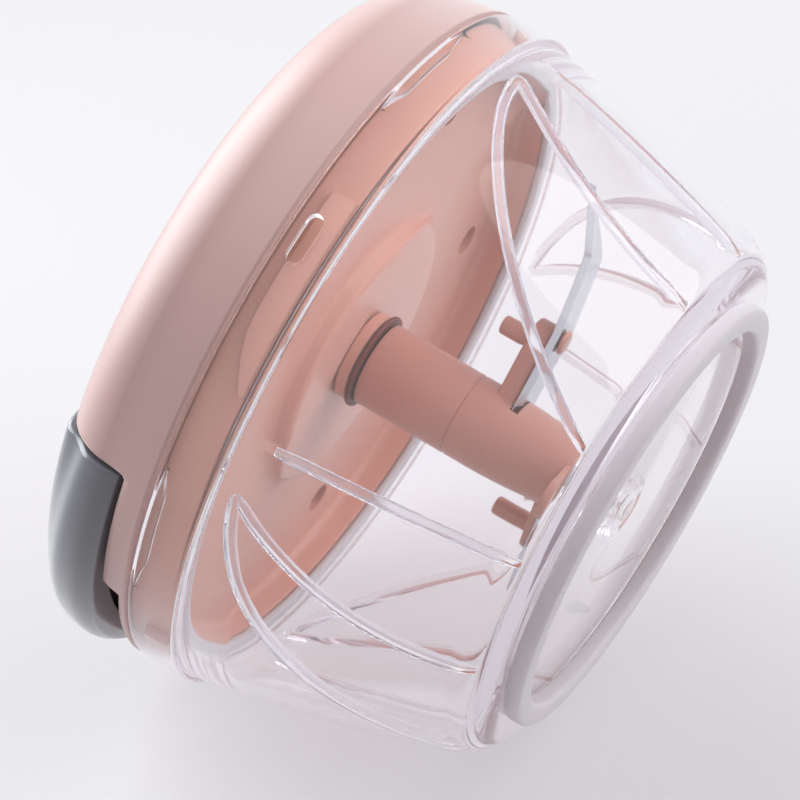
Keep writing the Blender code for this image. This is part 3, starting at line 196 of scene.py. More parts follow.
def copyRing(source, count, step, material):
    # copies the source round Z, count times, step degrees apart
    tree = bpy.data.node_groups.new("copyRing", "GeometryNodeTree")
    face = tree.interface
    for label, kind in (("Geometry", "NodeSocketGeometry"), ("Count", "NodeSocketInt"), ("Step", "NodeSocketFloat")):
        face.new_socket(label, in_out="INPUT", socket_type=kind)
    face.new_socket("Geometry", in_out="OUTPUT", socket_type="NodeSocketGeometry")
    nodes, links = tree.nodes, tree.links
    given, out = nodes.new("NodeGroupInput"), nodes.new("NodeGroupOutput")
    line = nodes.new("GeometryNodeMeshLine")
    line.inputs["Offset"].default_value = (0, 0, 0)
    index = nodes.new("GeometryNodeInputIndex")
    turn = nodes.new("ShaderNodeMath")
    turn.operation = "MULTIPLY"
    spin = nodes.new("ShaderNodeCombineXYZ")
    toRotation = nodes.new("FunctionNodeEulerToRotation")
    copies = nodes.new("GeometryNodeInstanceOnPoints")
    real = nodes.new("GeometryNodeRealizeInstances")
    finish = nodes.new("GeometryNodeSetMaterial")
    finish.inputs["Material"].default_value = material
    links.new(given.outputs["Count"], line.inputs["Count"])
    links.new(index.outputs[0], turn.inputs[0])
    links.new(given.outputs["Step"], turn.inputs[1])
    links.new(turn.outputs[0], spin.inputs["Z"])
    links.new(spin.outputs[0], toRotation.inputs[0])
    links.new(line.outputs["Mesh"], copies.inputs["Points"])
    links.new(given.outputs["Geometry"], copies.inputs["Instance"])
    links.new(toRotation.outputs[0], copies.inputs["Rotation"])
    links.new(copies.outputs[0], real.inputs[0])
    links.new(real.outputs[0], finish.inputs["Geometry"])
    links.new(finish.outputs[0], out.inputs["Geometry"])
    ring = source.modifiers.new("ring", "NODES")
    ring.node_group = tree
    sockets = {item.name: item.identifier for item in face.items_tree if item.in_out == "INPUT"}
    ring[sockets["Count"]] = count
    ring[sockets["Step"]] = math.radians(step)
    return applied(source)


# Materials

def shaderMaterial(name, color, roughness, **values):
    made = bpy.data.materials.new(name)
    made.use_nodes = True
    shader = made.node_tree.nodes["Principled BSDF"]
    shader.inputs["Base Color"].default_value = color
    shader.inputs["Roughness"].default_value = roughness
    for label, value in values.items():
        shader.inputs[label.replace("_", " ")].default_value = value
    return made, shader


def mottled(material, shader, color, scale, spread, bumpScale, bumpHeight, roughness, roughSpread, stretch=(1, 1, 1)):
    # a fine grain in the colour, the roughness and the surface, by the piece's own coordinates
    nodes, links = material.node_tree.nodes, material.node_tree.links
    where = nodes.new("ShaderNodeTexCoord")
    mapping = nodes.new("ShaderNodeMapping")
    mapping.inputs["Scale"].default_value = stretch
    links.new(where.outputs["Object"], mapping.inputs["Vector"])
    clouds = nodes.new("ShaderNodeTexNoise")
    clouds.inputs["Scale"].default_value = scale
    clouds.inputs["Detail"].default_value = 4.0
    links.new(mapping.outputs[0], clouds.inputs["Vector"])
    tone = nodes.new("ShaderNodeMix")
    tone.data_type = "RGBA"
    tone.inputs[6].default_value = tuple(c * (1 - spread) for c in color[:3]) + (1,)
    tone.inputs[7].default_value = tuple(min(1.0, c * (1 + spread)) for c in color[:3]) + (1,)
    links.new(clouds.outputs["Fac"], tone.inputs["Factor"])
    links.new(tone.outputs[2], shader.inputs["Base Color"])
    rough = nodes.new("ShaderNodeMapRange")
    rough.inputs["To Min"].default_value = roughness - roughSpread
    rough.inputs["To Max"].default_value = roughness + roughSpread
    links.new(clouds.outputs["Fac"], rough.inputs["Value"])
    links.new(rough.outputs[0], shader.inputs["Roughness"])
    grain = nodes.new("ShaderNodeTexNoise")
    grain.inputs["Scale"].default_value = bumpScale
    grain.inputs["Detail"].default_value = 2.0
    links.new(mapping.outputs[0], grain.inputs["Vector"])
    bump = nodes.new("ShaderNodeBump")
    bump.inputs["Strength"].default_value = 0.35
    bump.inputs["Distance"].default_value = bumpHeight * mm
    links.new(grain.outputs["Fac"], bump.inputs["Height"])
    links.new(bump.outputs[0], shader.inputs["Normal"])
    return material


def plastic(name, color, roughness, spread=0.03, grain=2600, height=0.02, **values):
    material, shader = shaderMaterial(name, color, roughness, **values)
    return mottled(material, shader, color, 45, spread, grain, height, roughness, 0.04)


def steel(name, color, roughness, stretch=(1, 1, 1)):
    material, shader = shaderMaterial(name, color, roughness, Metallic=1.0)
    return mottled(material, shader, color, 60, 0.05, 900, 0.01, roughness, 0.05, stretch)


def clearPlastic(name):
    # clear plastic with a faint lilac body that shows where one looks along the wall; on its ribs a share of white
    # diffuse is a painted highlight for the lights reflected along them
    material, shader = shaderMaterial(name, (0.995, 0.99, 1.0, 1), 0.03, Transmission_Weight=1.0, IOR=1.47)
    nodes, links = material.node_tree.nodes, material.node_tree.links
    where = nodes.new("ShaderNodeTexCoord")
    waves = nodes.new("ShaderNodeTexNoise")
    waves.inputs["Scale"].default_value = 70
    waves.inputs["Detail"].default_value = 1.0
    links.new(where.outputs["Object"], waves.inputs["Vector"])
    rough = nodes.new("ShaderNodeMapRange")
    rough.inputs["To Min"].default_value = 0.015
    rough.inputs["To Max"].default_value = 0.05
    links.new(waves.outputs["Fac"], rough.inputs["Value"])
    links.new(rough.outputs[0], shader.inputs["Roughness"])
    ribs = nodes.new("ShaderNodeAttribute")
    ribs.attribute_name = "rib"
    share = nodes.new("ShaderNodeMath")
    share.operation = "MULTIPLY"
    share.inputs[1].default_value = 0.3
    links.new(ribs.outputs["Fac"], share.inputs[0])
    # painted highlight: white diffuse that the rib mask mixes in, in place of the lights' reflection on the ribs
    white = nodes.new("ShaderNodeBsdfDiffuse")
    white.inputs["Color"].default_value = srgb(240, 236, 246)
    ribHighlight = nodes.new("ShaderNodeMixShader")
    links.new(share.outputs[0], ribHighlight.inputs[0])
    links.new(shader.outputs[0], ribHighlight.inputs[1])
    links.new(white.outputs[0], ribHighlight.inputs[2])
    through = nodes.new("ShaderNodeBsdfTransparent")
    through.inputs["Color"].default_value = (0.975, 0.945, 0.955, 1)
    path = nodes.new("ShaderNodeLightPath")
    deep = nodes.new("ShaderNodeMath")
    deep.operation = "GREATER_THAN"
    deep.inputs[1].default_value = 7.5
    links.new(path.outputs["Ray Depth"], deep.inputs[0])
    either = nodes.new("ShaderNodeMath")
    either.operation = "MAXIMUM"
    links.new(path.outputs["Is Shadow Ray"], either.inputs[0])
    links.new(deep.outputs[0], either.inputs[1])
    mix = nodes.new("ShaderNodeMixShader")
    out = nodes["Material Output"]
    links.new(either.outputs[0], mix.inputs[0])
    links.new(ribHighlight.outputs[0], mix.inputs[1])
    links.new(through.outputs[0], mix.inputs[2])
    links.new(mix.outputs[0], out.inputs["Surface"])
    body = nodes.new("ShaderNodeVolumeAbsorption")
    body.inputs["Color"].default_value = (0.6, 0.5, 0.86, 1)
    body.inputs["Density"].default_value = 3.5
    links.new(body.outputs[0], out.inputs["Volume"])
    return material


def milky(name, color, roughness):
    material, shader = shaderMaterial(name, color, roughness, Subsurface_Weight=0.6, Subsurface_Scale=0.002,
                                      Transmission_Weight=0.25, IOR=1.41)
    shader.inputs["Subsurface Radius"].default_value = (1.0, 0.9, 0.85)
    return mottled(material, shader, color, 60, 0.02, 1800, 0.01, roughness, 0.05)


pinkCover = plastic("pinkCover", srgb(211, 172, 167), 0.42, Sheen_Weight=0.6,
                    Sheen_Roughness=0.4, Specular_IOR_Level=0.65)
pinkInner = plastic("pinkInner", srgb(214, 157, 139), 0.3, Sheen_Weight=0.25, Sheen_Roughness=0.4)
pinkColumn = plastic("pinkColumn", srgb(198, 142, 126), 0.36, Sheen_Weight=0.35, Sheen_Roughness=0.4)
greyHandle = plastic("greyHandle", srgb(103, 104, 112), 0.34, 0.04, Coat_Weight=0.8,
                     Coat_Roughness=0.1, Sheen_Weight=0.4, Sheen_Roughness=0.4)
darkPlastic = plastic("darkPlastic", srgb(88, 90, 98), 0.45)
brownRubber = plastic("brownRubber", srgb(112, 58, 50), 0.5)
nylonWhite = plastic("nylonWhite", srgb(226, 222, 216), 0.4)
cordWhite = plastic("cordWhite", srgb(226, 226, 228), 0.8, 0.08, 1500, 0.15)
brightSteel = steel("brightSteel", srgb(196, 198, 202), 0.22)
bladeSteel = steel("bladeSteel", srgb(205, 208, 214), 0.2, (1, 8, 1))
springSteel = steel("springSteel", srgb(150, 152, 160), 0.3)
clearBowl = clearPlastic("clearBowl")
milkySilicone = milky("milkySilicone", srgb(240, 235, 240), 0.35)
sealSilicone = milky("sealSilicone", srgb(228, 226, 230), 0.35)
print("materials are ready")


# Bowl

bowlSize = {
    "rimRadius": 62.4, "rimHeight": 62.0, "stepHeight": 52.9, "stepDepth": 1.1, "wall": 2.0,
    "heelRadius": 50.3, "heelHeight": 10.0, "bulge": 1.0, "baseRadius": 44.2, "underside": 3.4,
    "floorTop": 6.0, "floorFillet": 3.6, "ledgeHeight": 53.1, "ledgeRadius": 58.0,
    "seatInner": 37.2, "seatOuter": 38.4, "seatBottom": 1.5,
    "petals": 4, "petalAzimuth": 46.0, "petalTop": 50.0, "longSweep": 55.0, "longCurve": 1.75, "shortSweep": 17.0,
    "straightAzimuth": 56.0, "straightTop": 47.0, "ribFoot": 6.5, "ribWidth": 2.0, "ribRise": 1.3,
    "windowAzimuth": -4.0, "windowHeight": 58.4, "windowLength": 8.8, "windowWidth": 2.9,
    "lugAzimuth": 33.0, "lugSpan": 28.0, "lugHeight": 2.0, "lugReach": 1.5,
    "bossRadius": 5.0, "bossHeight": 2.0, "socketRadius": 2.3, "socketFloor": 4.5,
}


def bowlOuter(height):
    b = bowlSize
    share = (height - b["heelHeight"]) / (b["stepHeight"] - b["heelHeight"])
    return lerp(b["heelRadius"], b["rimRadius"] - b["stepDepth"], share) + 4 * b["bulge"] * share * (1 - share)


def bowlInner(height):
    return min(bowlOuter(height) - bowlSize["wall"], bowlSize["ledgeRadius"])


def bowlOutline():
    b = bowlSize
    stepRadius = b["rimRadius"] - b["stepDepth"]
    collar = b["rimRadius"] - b["wall"]
    outline = bend((b["rimRadius"] - 0.7, b["rimHeight"]), (b["rimRadius"], b["rimHeight"]),
                   (b["rimRadius"], b["rimHeight"] - 0.7), 4)
    outline += bend((b["rimRadius"], b["stepHeight"] + 0.6), (b["rimRadius"], b["stepHeight"]),
                    (b["rimRadius"] - 0.6, b["stepHeight"]), 4)
    outline += bend((stepRadius + 0.15, b["stepHeight"]), (stepRadius, b["stepHeight"]),
                    (stepRadius, b["stepHeight"] - 0.3), 2)
    for i in range(1, 24):
        height = lerp(b["stepHeight"] - 0.3, b["heelHeight"], i / 24)
        outline.append((bowlOuter(height), height))
    slope = (stepRadius - b["heelRadius"]) / (b["stepHeight"] - b["heelHeight"])
    drop = 0.8 * (b["heelHeight"] - b["underside"])
    outline += bend((b["heelRadius"], b["heelHeight"]), (b["heelRadius"] - 1.3 * slope * drop, b["heelHeight"] - drop),
                    (b["baseRadius"], b["underside"]), 14)
    outline += [(b["seatOuter"] + 0.1, b["underside"]), (b["seatOuter"], b["underside"] - 0.1),
                (b["seatOuter"], b["seatBottom"] + 0.2), (b["seatOuter"] - 0.2, b["seatBottom"]),
                (b["seatInner"] + 0.2, b["seatBottom"]), (b["seatInner"], b["seatBottom"] + 0.2),
                (b["seatInner"], b["underside"] - 0.1), (b["seatInner"] - 0.1, b["underside"])]
    outline += [(0, b["underside"]), (0, b["floorTop"])]
    foot = b["floorTop"] + b["floorFillet"]
    footRadius = bowlOuter(foot) - b["wall"]
    outline += bend((footRadius - b["floorFillet"], b["floorTop"]),
                    (footRadius - 0.3 * b["floorFillet"], b["floorTop"]), (footRadius, foot), 14)
    ledgeStart = b["stepHeight"]
    while bowlOuter(ledgeStart) - b["wall"] > b["ledgeRadius"]:
        ledgeStart -= 0.05
    for i in range(1, 25):
        height = lerp(foot, ledgeStart, i / 24)
        outline.append((bowlInner(height), height))
    outline += bend((b["ledgeRadius"], b["ledgeHeight"] - 0.4), (b["ledgeRadius"], b["ledgeHeight"]),
                    (b["ledgeRadius"] + 0.4, b["ledgeHeight"]), 3)
    outline += bend((collar - 0.3, b["ledgeHeight"]), (collar, b["ledgeHeight"]), (collar, b["ledgeHeight"] + 0.3), 3)
    outline += bend((collar, b["rimHeight"] - 0.4), (collar, b["rimHeight"]), (collar + 0.4, b["rimHeight"]), 3)
    return outline


def ribMesh(name, route):
    # a ridge with a flat crown and rounded shoulders, along (azimuth, height) points on the inner wall
    b = bowlSize
    profile = [(-0.5, -0.7), (-0.47, 0.35), (-0.4, 0.75), (-0.26, 0.97), (0.0, 1.0),
               (0.26, 0.97), (0.4, 0.75), (0.47, 0.35), (0.5, -0.7)]
    spots = [polar(bowlInner(height), azimuth, height) for azimuth, height in route]
    sections = []
    last = len(spots) - 1
    for i, spot in enumerate(spots):
        ahead = spots[min(i + 1, last)] - spots[max(i - 1, 0)]
        inward = Vector((-spot.x, -spot.y, 0)).normalized()
        across = ahead.normalized().cross(inward).normalized()
        ends = min(i, last - i)
        swell = (0.45, 0.8, 0.95)[ends] if ends < 3 else 1.0
        sections.append([tuple(spot + across * (b["ribWidth"] * side * (0.6 + 0.4 * swell))
                               + inward * (b["ribRise"] * up * swell if up > 0 else up))
                         for side, up in profile])
    return loft(name, sections)


def makeBowl():
    b = bowlSize
    shell = lathe("bowlShell", bowlOutline(), clearBowl, 224)
    drop = b["petalTop"] - b["ribFoot"]
    turn = 360.0 / b["petals"]
    long = [(b["petalAzimuth"] - b["longSweep"] * t, b["petalTop"] - drop * t ** b["longCurve"])
            for t in (i / 44 for i in range(45))]
    short = [(b["petalAzimuth"] - b["shortSweep"] * (1 - (1 - t) ** 2), b["petalTop"] - drop * t)
             for t in (i / 32 for i in range(33))]
    straight = [(b["straightAzimuth"], lerp(b["straightTop"], b["ribFoot"], t)) for t in (i / 24 for i in range(25))]
    rings = [copyRing(ribMesh(name, route), b["petals"], turn, clearBowl)
             for name, route in (("longRib", long), ("shortRib", short), ("straightRib", straight))]
    collar = b["rimRadius"] - b["wall"]
    lug = []
    for i in range(29):
        share = i / 28
        swell = math.sin(0.5 * math.pi * min(1.0, min(share, 1 - share) / 0.3)) ** 2
        reach = lerp(-0.1, b["lugReach"], swell)
        low, high = b["rimHeight"] - lerp(0.9, b["lugHeight"], swell), b["rimHeight"] - lerp(0.6, 0.2, swell)
        section = rounded([(collar + 0.8, low), (collar - reach, low), (collar - reach, high), (collar + 0.8, high)],
                          [0, 0.5, 0.5, 0], 4)
        lug.append([tuple(polar(r, b["lugAzimuth"] + b["lugSpan"] * (share - 0.5), z)) for r, z in section])
    rings.append(copyRing(loft("collarLug", lug), 4, 90.0, clearBowl))
    top = b["floorTop"] + b["bossHeight"]
    rings.append(lathe("pinBoss", [(0, b["floorTop"] - 0.8), (b["bossRadius"] + 1.2, b["floorTop"] - 0.8)]
                       + bend((b["bossRadius"] + 1.0, b["floorTop"]), (b["bossRadius"], b["floorTop"]),
                              (b["bossRadius"] - 0.2, b["floorTop"] + 1.0), 4)
                       + bend((b["bossRadius"] - 0.6, top - 0.4), (b["bossRadius"] - 0.7, top),
                              (b["bossRadius"] - 1.4, top), 4) + [(0, top)], steps=64, closed=False))
    shell = boolean(shell, rings, "UNION")
    socket = rod("pinSocket", (0, 0, b["socketFloor"]), (0, 0, top + 1), b["socketRadius"])
    window = windowCutter("window", 0.0, b["rimRadius"] - b["wall"] - 0.4, b["rimRadius"] + 2)
    shell = boolean(shell, [socket, window], "DIFFERENCE")
    # a rib mask, from 0 on the plain wall to 1 where a rib stands out, that places the clear plastic's painted
    # highlight
    ribs = shell.data.attributes.new("rib", "FLOAT", "POINT")
    rises = []
    for vertex in shell.data.vertices:
        x, y, z = (c / mm for c in vertex.co)
        onWall = b["ribFoot"] < z < b["petalTop"] and z > b["floorTop"] + b["floorFillet"]
        rises.append(min(1.0, max(0.0, 2 * (bowlInner(z) - math.hypot(x, y) - 0.2))) if onWall else 0.0)
    ribs.data.foreach_set("value", rises)
    return place(shell, "bowl", "clear_plastic", "bowl")


def windowCutter(name, margin, inner, outer):
    b = bowlSize
    radius = b["windowWidth"] / 2 + margin
    half = b["windowLength"] / 2 - b["windowWidth"] / 2
    outline = []
    for side, start in ((1, -90), (-1, 90)):
        for step in range(13):
            angle = math.radians(start + 15 * step)
            outline.append((side * half + radius * math.cos(angle), b["windowHeight"] + radius * math.sin(angle)))
    turn = Matrix.Rotation(math.radians(b["windowAzimuth"]), 3, "Z")
    return loft(name, [[tuple(turn @ Vector((depth, x, z))) for x, z in outline] for depth in (inner, outer)])


footSize = {"inner": 35.6, "outer": 40.0, "high": 3.1, "grooveInner": 36.9, "grooveOuter": 38.7, "grooveFloor": 1.2}
pinSize = {"radius": 2.0, "top": 16.0, "bottom": 4.8, "flat": 1.2, "shoulder": 14.8}
sealSize = {"inner": 55.9, "outer": 58.5, "bottom": 53.4, "top": 54.6, "edge": 0.35}


def makeFoot():
    f, p = footSize, pinSize
    points = [(f["outer"], f["high"]), (f["outer"], 0), (f["inner"], 0), (f["inner"], f["high"]),
              (f["grooveInner"], f["high"]), (f["grooveInner"], f["grooveFloor"]),
              (f["grooveOuter"], f["grooveFloor"]), (f["grooveOuter"], f["high"])]
    ring = lathe("footRing", rounded(points, [0.5, 1.0, 1.0, 0.5, 0.1, 0, 0, 0.1], 5), milkySilicone)
    place(ring, "bowl", "foot_silicone", "foot_ring")
    tip = bend((p["flat"], p["top"]), (p["radius"], p["top"]), (p["radius"], p["shoulder"]), 4)
    pin = lathe("pivotPin", [(0, p["top"]), (p["flat"], p["top"])] + tip[1:]
                + [(p["radius"], p["bottom"]), (0, p["bottom"])], brightSteel, 48, closed=False)
    place(pin, "bowl", "steel", "bowl_pin")


def makeSeal():
    s = sealSize
    points = [(s["outer"], s["top"]), (s["outer"], s["bottom"]), (s["inner"], s["bottom"]), (s["inner"], s["top"])]
    seal = lathe("sealRing", rounded(points, [s["edge"]] * 4, 4), sealSilicone)
    place(seal, "seal", "seal_silicone", "lid_seal")


makeBowl()
makeFoot()
makeSeal()
print("the bowl is made")


# Cover of the lid

coverSize = {
    "bottom": 62.4, "rim": 62.4, "shoulder": (61.0, 71.0), "crownRadius": 50.0, "crownHeight": 82.0,
    "crownRise": 0.9, "wall": 2.2, "lipRadius": 58.6, "lip": 1.5, "pocketRadius": 44.0, "pocketFloor": 67.5,
    "pocketHalfAngle": 40.1, "pocketWall": 2.0, "scoopHalfAngle": 16.0, "scoopRadius": 54.9, "scoopFloor": 64.0,
    "edge": 0.7, "springRing": 20.6, "springRingWall": 1.6, "springRingBottom": 77.0, "axleBoss": 5.8,
    "axleBossBottom": 79.9, "axleHole": 2.6, "axleTop": 81.9, "screwCircle": 47.0, "screwAzimuths": (-20, 50, 130, 200),
    "postRadius": 3.5, "postBottom": 66.3, "pilotRadius": 1.6, "pilotTop": 73.4, "guideHole": 3.3, "guideHeight": 73.4,
}


def crownHeight(radius, offset=0.0):
    c = coverSize
    return c["crownHeight"] - offset + c["crownRise"] * (1 - (radius / c["crownRadius"]) ** 2)


def resampled(points, count):
    # the same line with this many points, evenly spaced along it
    lengths = [0.0]
    for a, b in zip(points, points[1:]):
        lengths.append(lengths[-1] + math.dist(a, b))
    result = []
    place = 0
    for i in range(count):
        want = lengths[-1] * i / (count - 1)
        while place < len(points) - 2 and lengths[place + 1] < want:
            place += 1
        span = lengths[place + 1] - lengths[place] or 1.0
        share = (want - lengths[place]) / span
        result.append(tuple(lerp(a, b, share) for a, b in zip(points[place], points[place + 1])))
    return result


def coverSide(offset, top):
    # the side from the lower edge to a height, and the rest of it up to the pocket's radius
    c = coverSize
    shoulderRadius, shoulderHeight = c["shoulder"]
    line = [(lerp(c["rim"], shoulderRadius, t) - offset, lerp(c["bottom"], shoulderHeight, t))
            for t in (i / 12 for i in range(10))]
    arc = [(c["crownRadius"] + (shoulderRadius - c["crownRadius"] - offset) * math.cos(a),
            shoulderHeight + (c["crownHeight"] - shoulderHeight - offset) * math.sin(a))
           for a in (0.5 * math.pi * i / 28 for i in range(3, 29))]
    line += bend(line[-1], (shoulderRadius - offset, shoulderHeight), arc[0], 4)[1:-1] + arc
    below = [p for p in line if p[1] <= top]
    above = [p for p in line if p[1] > top]
    share = (top - below[-1][1]) / (above[0][1] - below[-1][1])
    split = (lerp(below[-1][0], above[0][0], share), top)
    return below + [split], [split] + above


def coverSkins():
    # three (radius, height) outlines with as many points each: beside the pocket, in it and over the finger scoop
    c = coverSize
    edge = c["edge"]
    low, high = coverSide(0.0, c["pocketFloor"])
    high += [(r, crownHeight(r)) for r in (48.0, 46.5, 45.2, c["pocketRadius"])]
    start = [(0, c["bottom"])] + bend((c["rim"] - 0.6, c["bottom"]), (c["rim"], c["bottom"]),
                                      (c["rim"] - 0.1, c["bottom"] + 0.6), 4)
    crown = [(c["pocketRadius"] * (1 - i / 14), crownHeight(c["pocketRadius"] * (1 - i / 14))) for i in range(1, 15)]
    back = c["pocketRadius"]
    floor = c["pocketFloor"]
    lip = low[-1][0]
    rise = bend((back + 1.0, floor), (back, floor), (back, floor + 1.0), 5)
    rise += bend((back, crownHeight(back) - edge), (back, crownHeight(back)),
                 (back - edge, crownHeight(back - edge)), 5)
    front = bend((lip, floor - edge), (lip, floor), (lip - edge, floor), 5)
    scoop = c["scoopFloor"]
    scoopLip = coverSide(0.0, scoop)[0]
    scoopFront = bend((scoopLip[-1][0], scoop - edge), (scoopLip[-1][0], scoop), (scoopLip[-1][0] - edge, scoop), 5)
    inside = c["scoopRadius"]
    scoopBack = bend((inside + 1.2, scoop), (inside, scoop), (inside, scoop + 1.2), 5)
    scoopBack += bend((inside, floor - edge), (inside, floor), (inside - edge, floor), 5)
    sideLine = [p for p in low if p[1] > c["bottom"] + 0.7]
    sidePocket = [p for p in sideLine if p[1] < floor - edge]
    sideScoop = [p for p in sideLine if p[1] < scoop - edge] or [sideLine[0]]
    full = start + resampled(sideLine, 10) + resampled(high, 70)[1:] + crown
    pocket = start + resampled(sidePocket + [front[0]], 10) + resampled(front + rise, 70)[1:] + crown
    scooped = start + resampled(sideScoop + [scoopFront[0]], 10)
    scooped += resampled(scoopFront + scoopBack + rise, 70)[1:] + crown
    return full, pocket, scooped


def cavitySkins():
    c = coverSize
    low = c["bottom"] - 1.0
    wall = c["wall"]
    lip = [(0, low), (c["lipRadius"], low), (c["lipRadius"], c["bottom"] + c["lip"]),
           (c["rim"] - wall - 0.02, c["bottom"] + c["lip"])]
    side, high = coverSide(wall, c["pocketFloor"] - c["pocketWall"])
    side = [p for p in side if p[1] > c["bottom"] + c["lip"] + 0.1]
    high += [(r, crownHeight(r, wall)) for r in (47.0, 44.5, c["pocketRadius"] - c["pocketWall"])]
    back = c["pocketRadius"] - c["pocketWall"]
    roof = c["pocketFloor"] - c["pocketWall"]
    crown = [(back * (1 - i / 8), crownHeight(back * (1 - i / 8), wall)) for i in range(1, 9)]
    full = resampled(lip, 16) + resampled(side, 6)[1:] + resampled(high, 40)[1:] + crown
    under = resampled([side[-1], (back, roof), (back, crownHeight(back, wall))], 40)
    pocket = resampled(lip, 16) + resampled(side, 6)[1:] + under[1:] + crown
    inside = c["scoopRadius"] - c["pocketWall"]
    shelf = c["bottom"] + 0.5
    scoopLip = [(0, low), (c["lipRadius"], low), (c["lipRadius"], shelf), (c["lipRadius"] - 0.6, shelf)]
    scooped = resampled(scoopLip, 16) + resampled([scoopLip[-1], (inside + 1.0, shelf)], 6)[1:]
    scooped += resampled([(inside + 1.0, shelf), (inside, shelf), (inside, roof), (back, roof),
                          (back, crownHeight(back, wall))], 40)[1:] + crown
    return full, pocket, scooped


def recessed(name, skins, outerHalf, innerHalf, edge, steps, material=None):
    # a solid turned about Z whose outline changes over the pocket and again over the scoop, with rounded walls between
    full, pocket, scooped = skins
    c = coverSize

    def between(first, second, share, shift):
        # shift is a distance in millimetres from the first outline or, below 0, from the second
        result = []
        for a, b in zip(first, second):
            span = math.dist(a, b)
            if span < 1e-6:
                result.append(a)
                continue
            t = min(0.5, shift / span) if shift >= 0 and share < 0.5 else max(0.5, 1 + min(0.0, shift) / span)
            if 0.25 < share < 0.75:
                t = 0.5
            result.append(tuple(lerp(x, y, t) for x, y in zip(a, b)))
        return result

    def wall(first, second, azimuth, side):
        # the columns from the first outline to the second, at an azimuth that the wall stands at
        made = []
        for i in range(6):
            angle = 0.5 * math.pi * i / 5
            made.append((azimuth, side * edge * (1 - math.sin(angle)),
                         between(first, second, 0.0, edge * (1 - math.cos(angle)))))
        made.append((azimuth, 0.0, between(first, second, 0.5, 0.0)))
        for i in range(6):
            angle = 0.5 * math.pi * i / 5
            made.append((azimuth, -side * edge * (1 - math.cos(angle)),
                         between(first, second, 1.0, -edge * (1 - math.sin(angle)) - 1e-9)))
        return made

    def run(outline, start, end):
        count = max(2, math.ceil((end - start) / 360 * steps))
        return [(lerp(start, end, i / count), 0.0, outline) for i in range(1, count)]

    margin = math.degrees(edge / 50.0) * 1.6
    columns = run(full, -180.0, -outerHalf - margin)
    columns += wall(full, pocket, -outerHalf, -1)
    columns += run(pocket, -outerHalf + margin, -innerHalf - margin)
    columns += wall(pocket, scooped, -innerHalf, -1)
    columns += run(scooped, -innerHalf + margin, innerHalf - margin)
    columns += list(reversed(wall(pocket, scooped, innerHalf, 1)))
    columns += run(pocket, innerHalf + margin, outerHalf - margin)
    columns += list(reversed(wall(full, pocket, outerHalf, 1)))
    columns += run(full, outerHalf + margin, 180.0) + [(180.0, 0.0, full)]
    bm = bmesh.new()
    rings = []
    for azimuth, offset, outline in columns:
        ring = []
        for radius, height in outline:
            # inside the pocket's radius the offset turns less, so that the columns stay in order at the pole
            turn = azimuth + math.degrees(offset / max(radius, c["pocketRadius"]))
            ring.append(bm.verts.new(polar(radius, turn - 90.0, height)))
        rings.append(ring)
    for ring, following in zip(rings, rings[1:] + rings[:1]):
        for i in range(len(ring) - 1):
            bm.faces.new((ring[i], ring[i + 1], following[i + 1], following[i]))
    return meshObject(name, bm, material, 50.0)


def makeCover():
    c = coverSize
    cover = recessed("coverShell", coverSkins(), c["pocketHalfAngle"], c["scoopHalfAngle"], c["edge"], 240, pinkCover)
    spread = math.degrees(c["pocketWall"] / 61.6)
    cavity = recessed("coverCavity", cavitySkins(), c["pocketHalfAngle"] + spread, c["scoopHalfAngle"] + 2.5, 0.3, 120)
    blocks = [lathe("springRing", [
        (c["springRing"] + c["springRingWall"], c["crownHeight"]),
        (c["springRing"] + c["springRingWall"], c["springRingBottom"]),
        (c["springRing"], c["springRingBottom"]), (c["springRing"], c["crownHeight"])], steps=96)]
    blocks.append(rod("axleBoss", (0, 0, c["axleBossBottom"]), (0, 0, c["crownHeight"]), c["axleBoss"]))
    holes = [cavity, rod("axleHole", (0, 0, 77.7), (0, 0, c["axleTop"]), c["axleHole"]),
             rod("guideHole", (0, -46.2, c["guideHeight"]), (0, -39.8, c["guideHeight"]), c["guideHole"])]
    for index, azimuth in enumerate(c["screwAzimuths"]):
        spot = polar(c["screwCircle"], azimuth)
        blocks.append(rod(f"post{index}", (spot.x, spot.y, c["postBottom"]),
                          (spot.x, spot.y, c["crownHeight"] + 3), c["postRadius"], 32))
        holes.append(rod(f"pilot{index}", (spot.x, spot.y, 65), (spot.x, spot.y, c["pilotTop"]), c["pilotRadius"], 24))
    holes[0] = boolean(cavity, blocks, "DIFFERENCE")
    cover = boolean(cover, holes, "DIFFERENCE", 50.0, pinkCover)
    return place(cover, "lid", "cover_pink", "lid_cover")


# Pull handle

handleSize = {
    "halfAngle": 39.6, "inner": 44.6, "split": 48.2, "seat": 0.3, "bottom": 68.3, "radius": 61.6, "bulge": 2.7,
    "rise": 0.5, "hollowHalfAngle": 20.0, "hollowDepth": 4.6, "lip": 3.0, "cordHeight": 73.4, "knotRadius": 2.5,
    "knotCentre": 51.3, "cordRadius": 0.9, "edge": 0.8, "middle": 58.0, "plateMiddle": 46.0, "plateEdge": 0.19,
    "plateInset": 0.6,
}


def handleTop(radius):
    h, c = handleSize, coverSize
    if radius <= c["crownRadius"]:
        return crownHeight(radius) + h["rise"]
    reach = min(1.0, (radius - c["crownRadius"]) / (c["shoulder"][0] + 3 - c["crownRadius"]))
    return c["shoulder"][1] + (c["crownHeight"] - c["shoulder"][1]) * math.sqrt(max(0.0, 1 - reach * reach)) + h["rise"]


def throughPoints(points, steps):
    # a smooth line through the points, each span cut in steps
    result = []
    last = len(points) - 1
    for i in range(last):
        before, a, b, after = (Vector(points[max(i - 1, 0)]), Vector(points[i]), Vector(points[i + 1]),
                               Vector(points[min(i + 2, last)]))
        for step in range(steps):
            t = step / steps
            result.append(tuple(0.5 * (2 * a + (b - before) * t + (2 * before - 5 * a + 4 * b - after) * t * t
                                       + (3 * a - before - 3 * b + after) * t ** 3)))
    return result + [tuple(points[-1])]


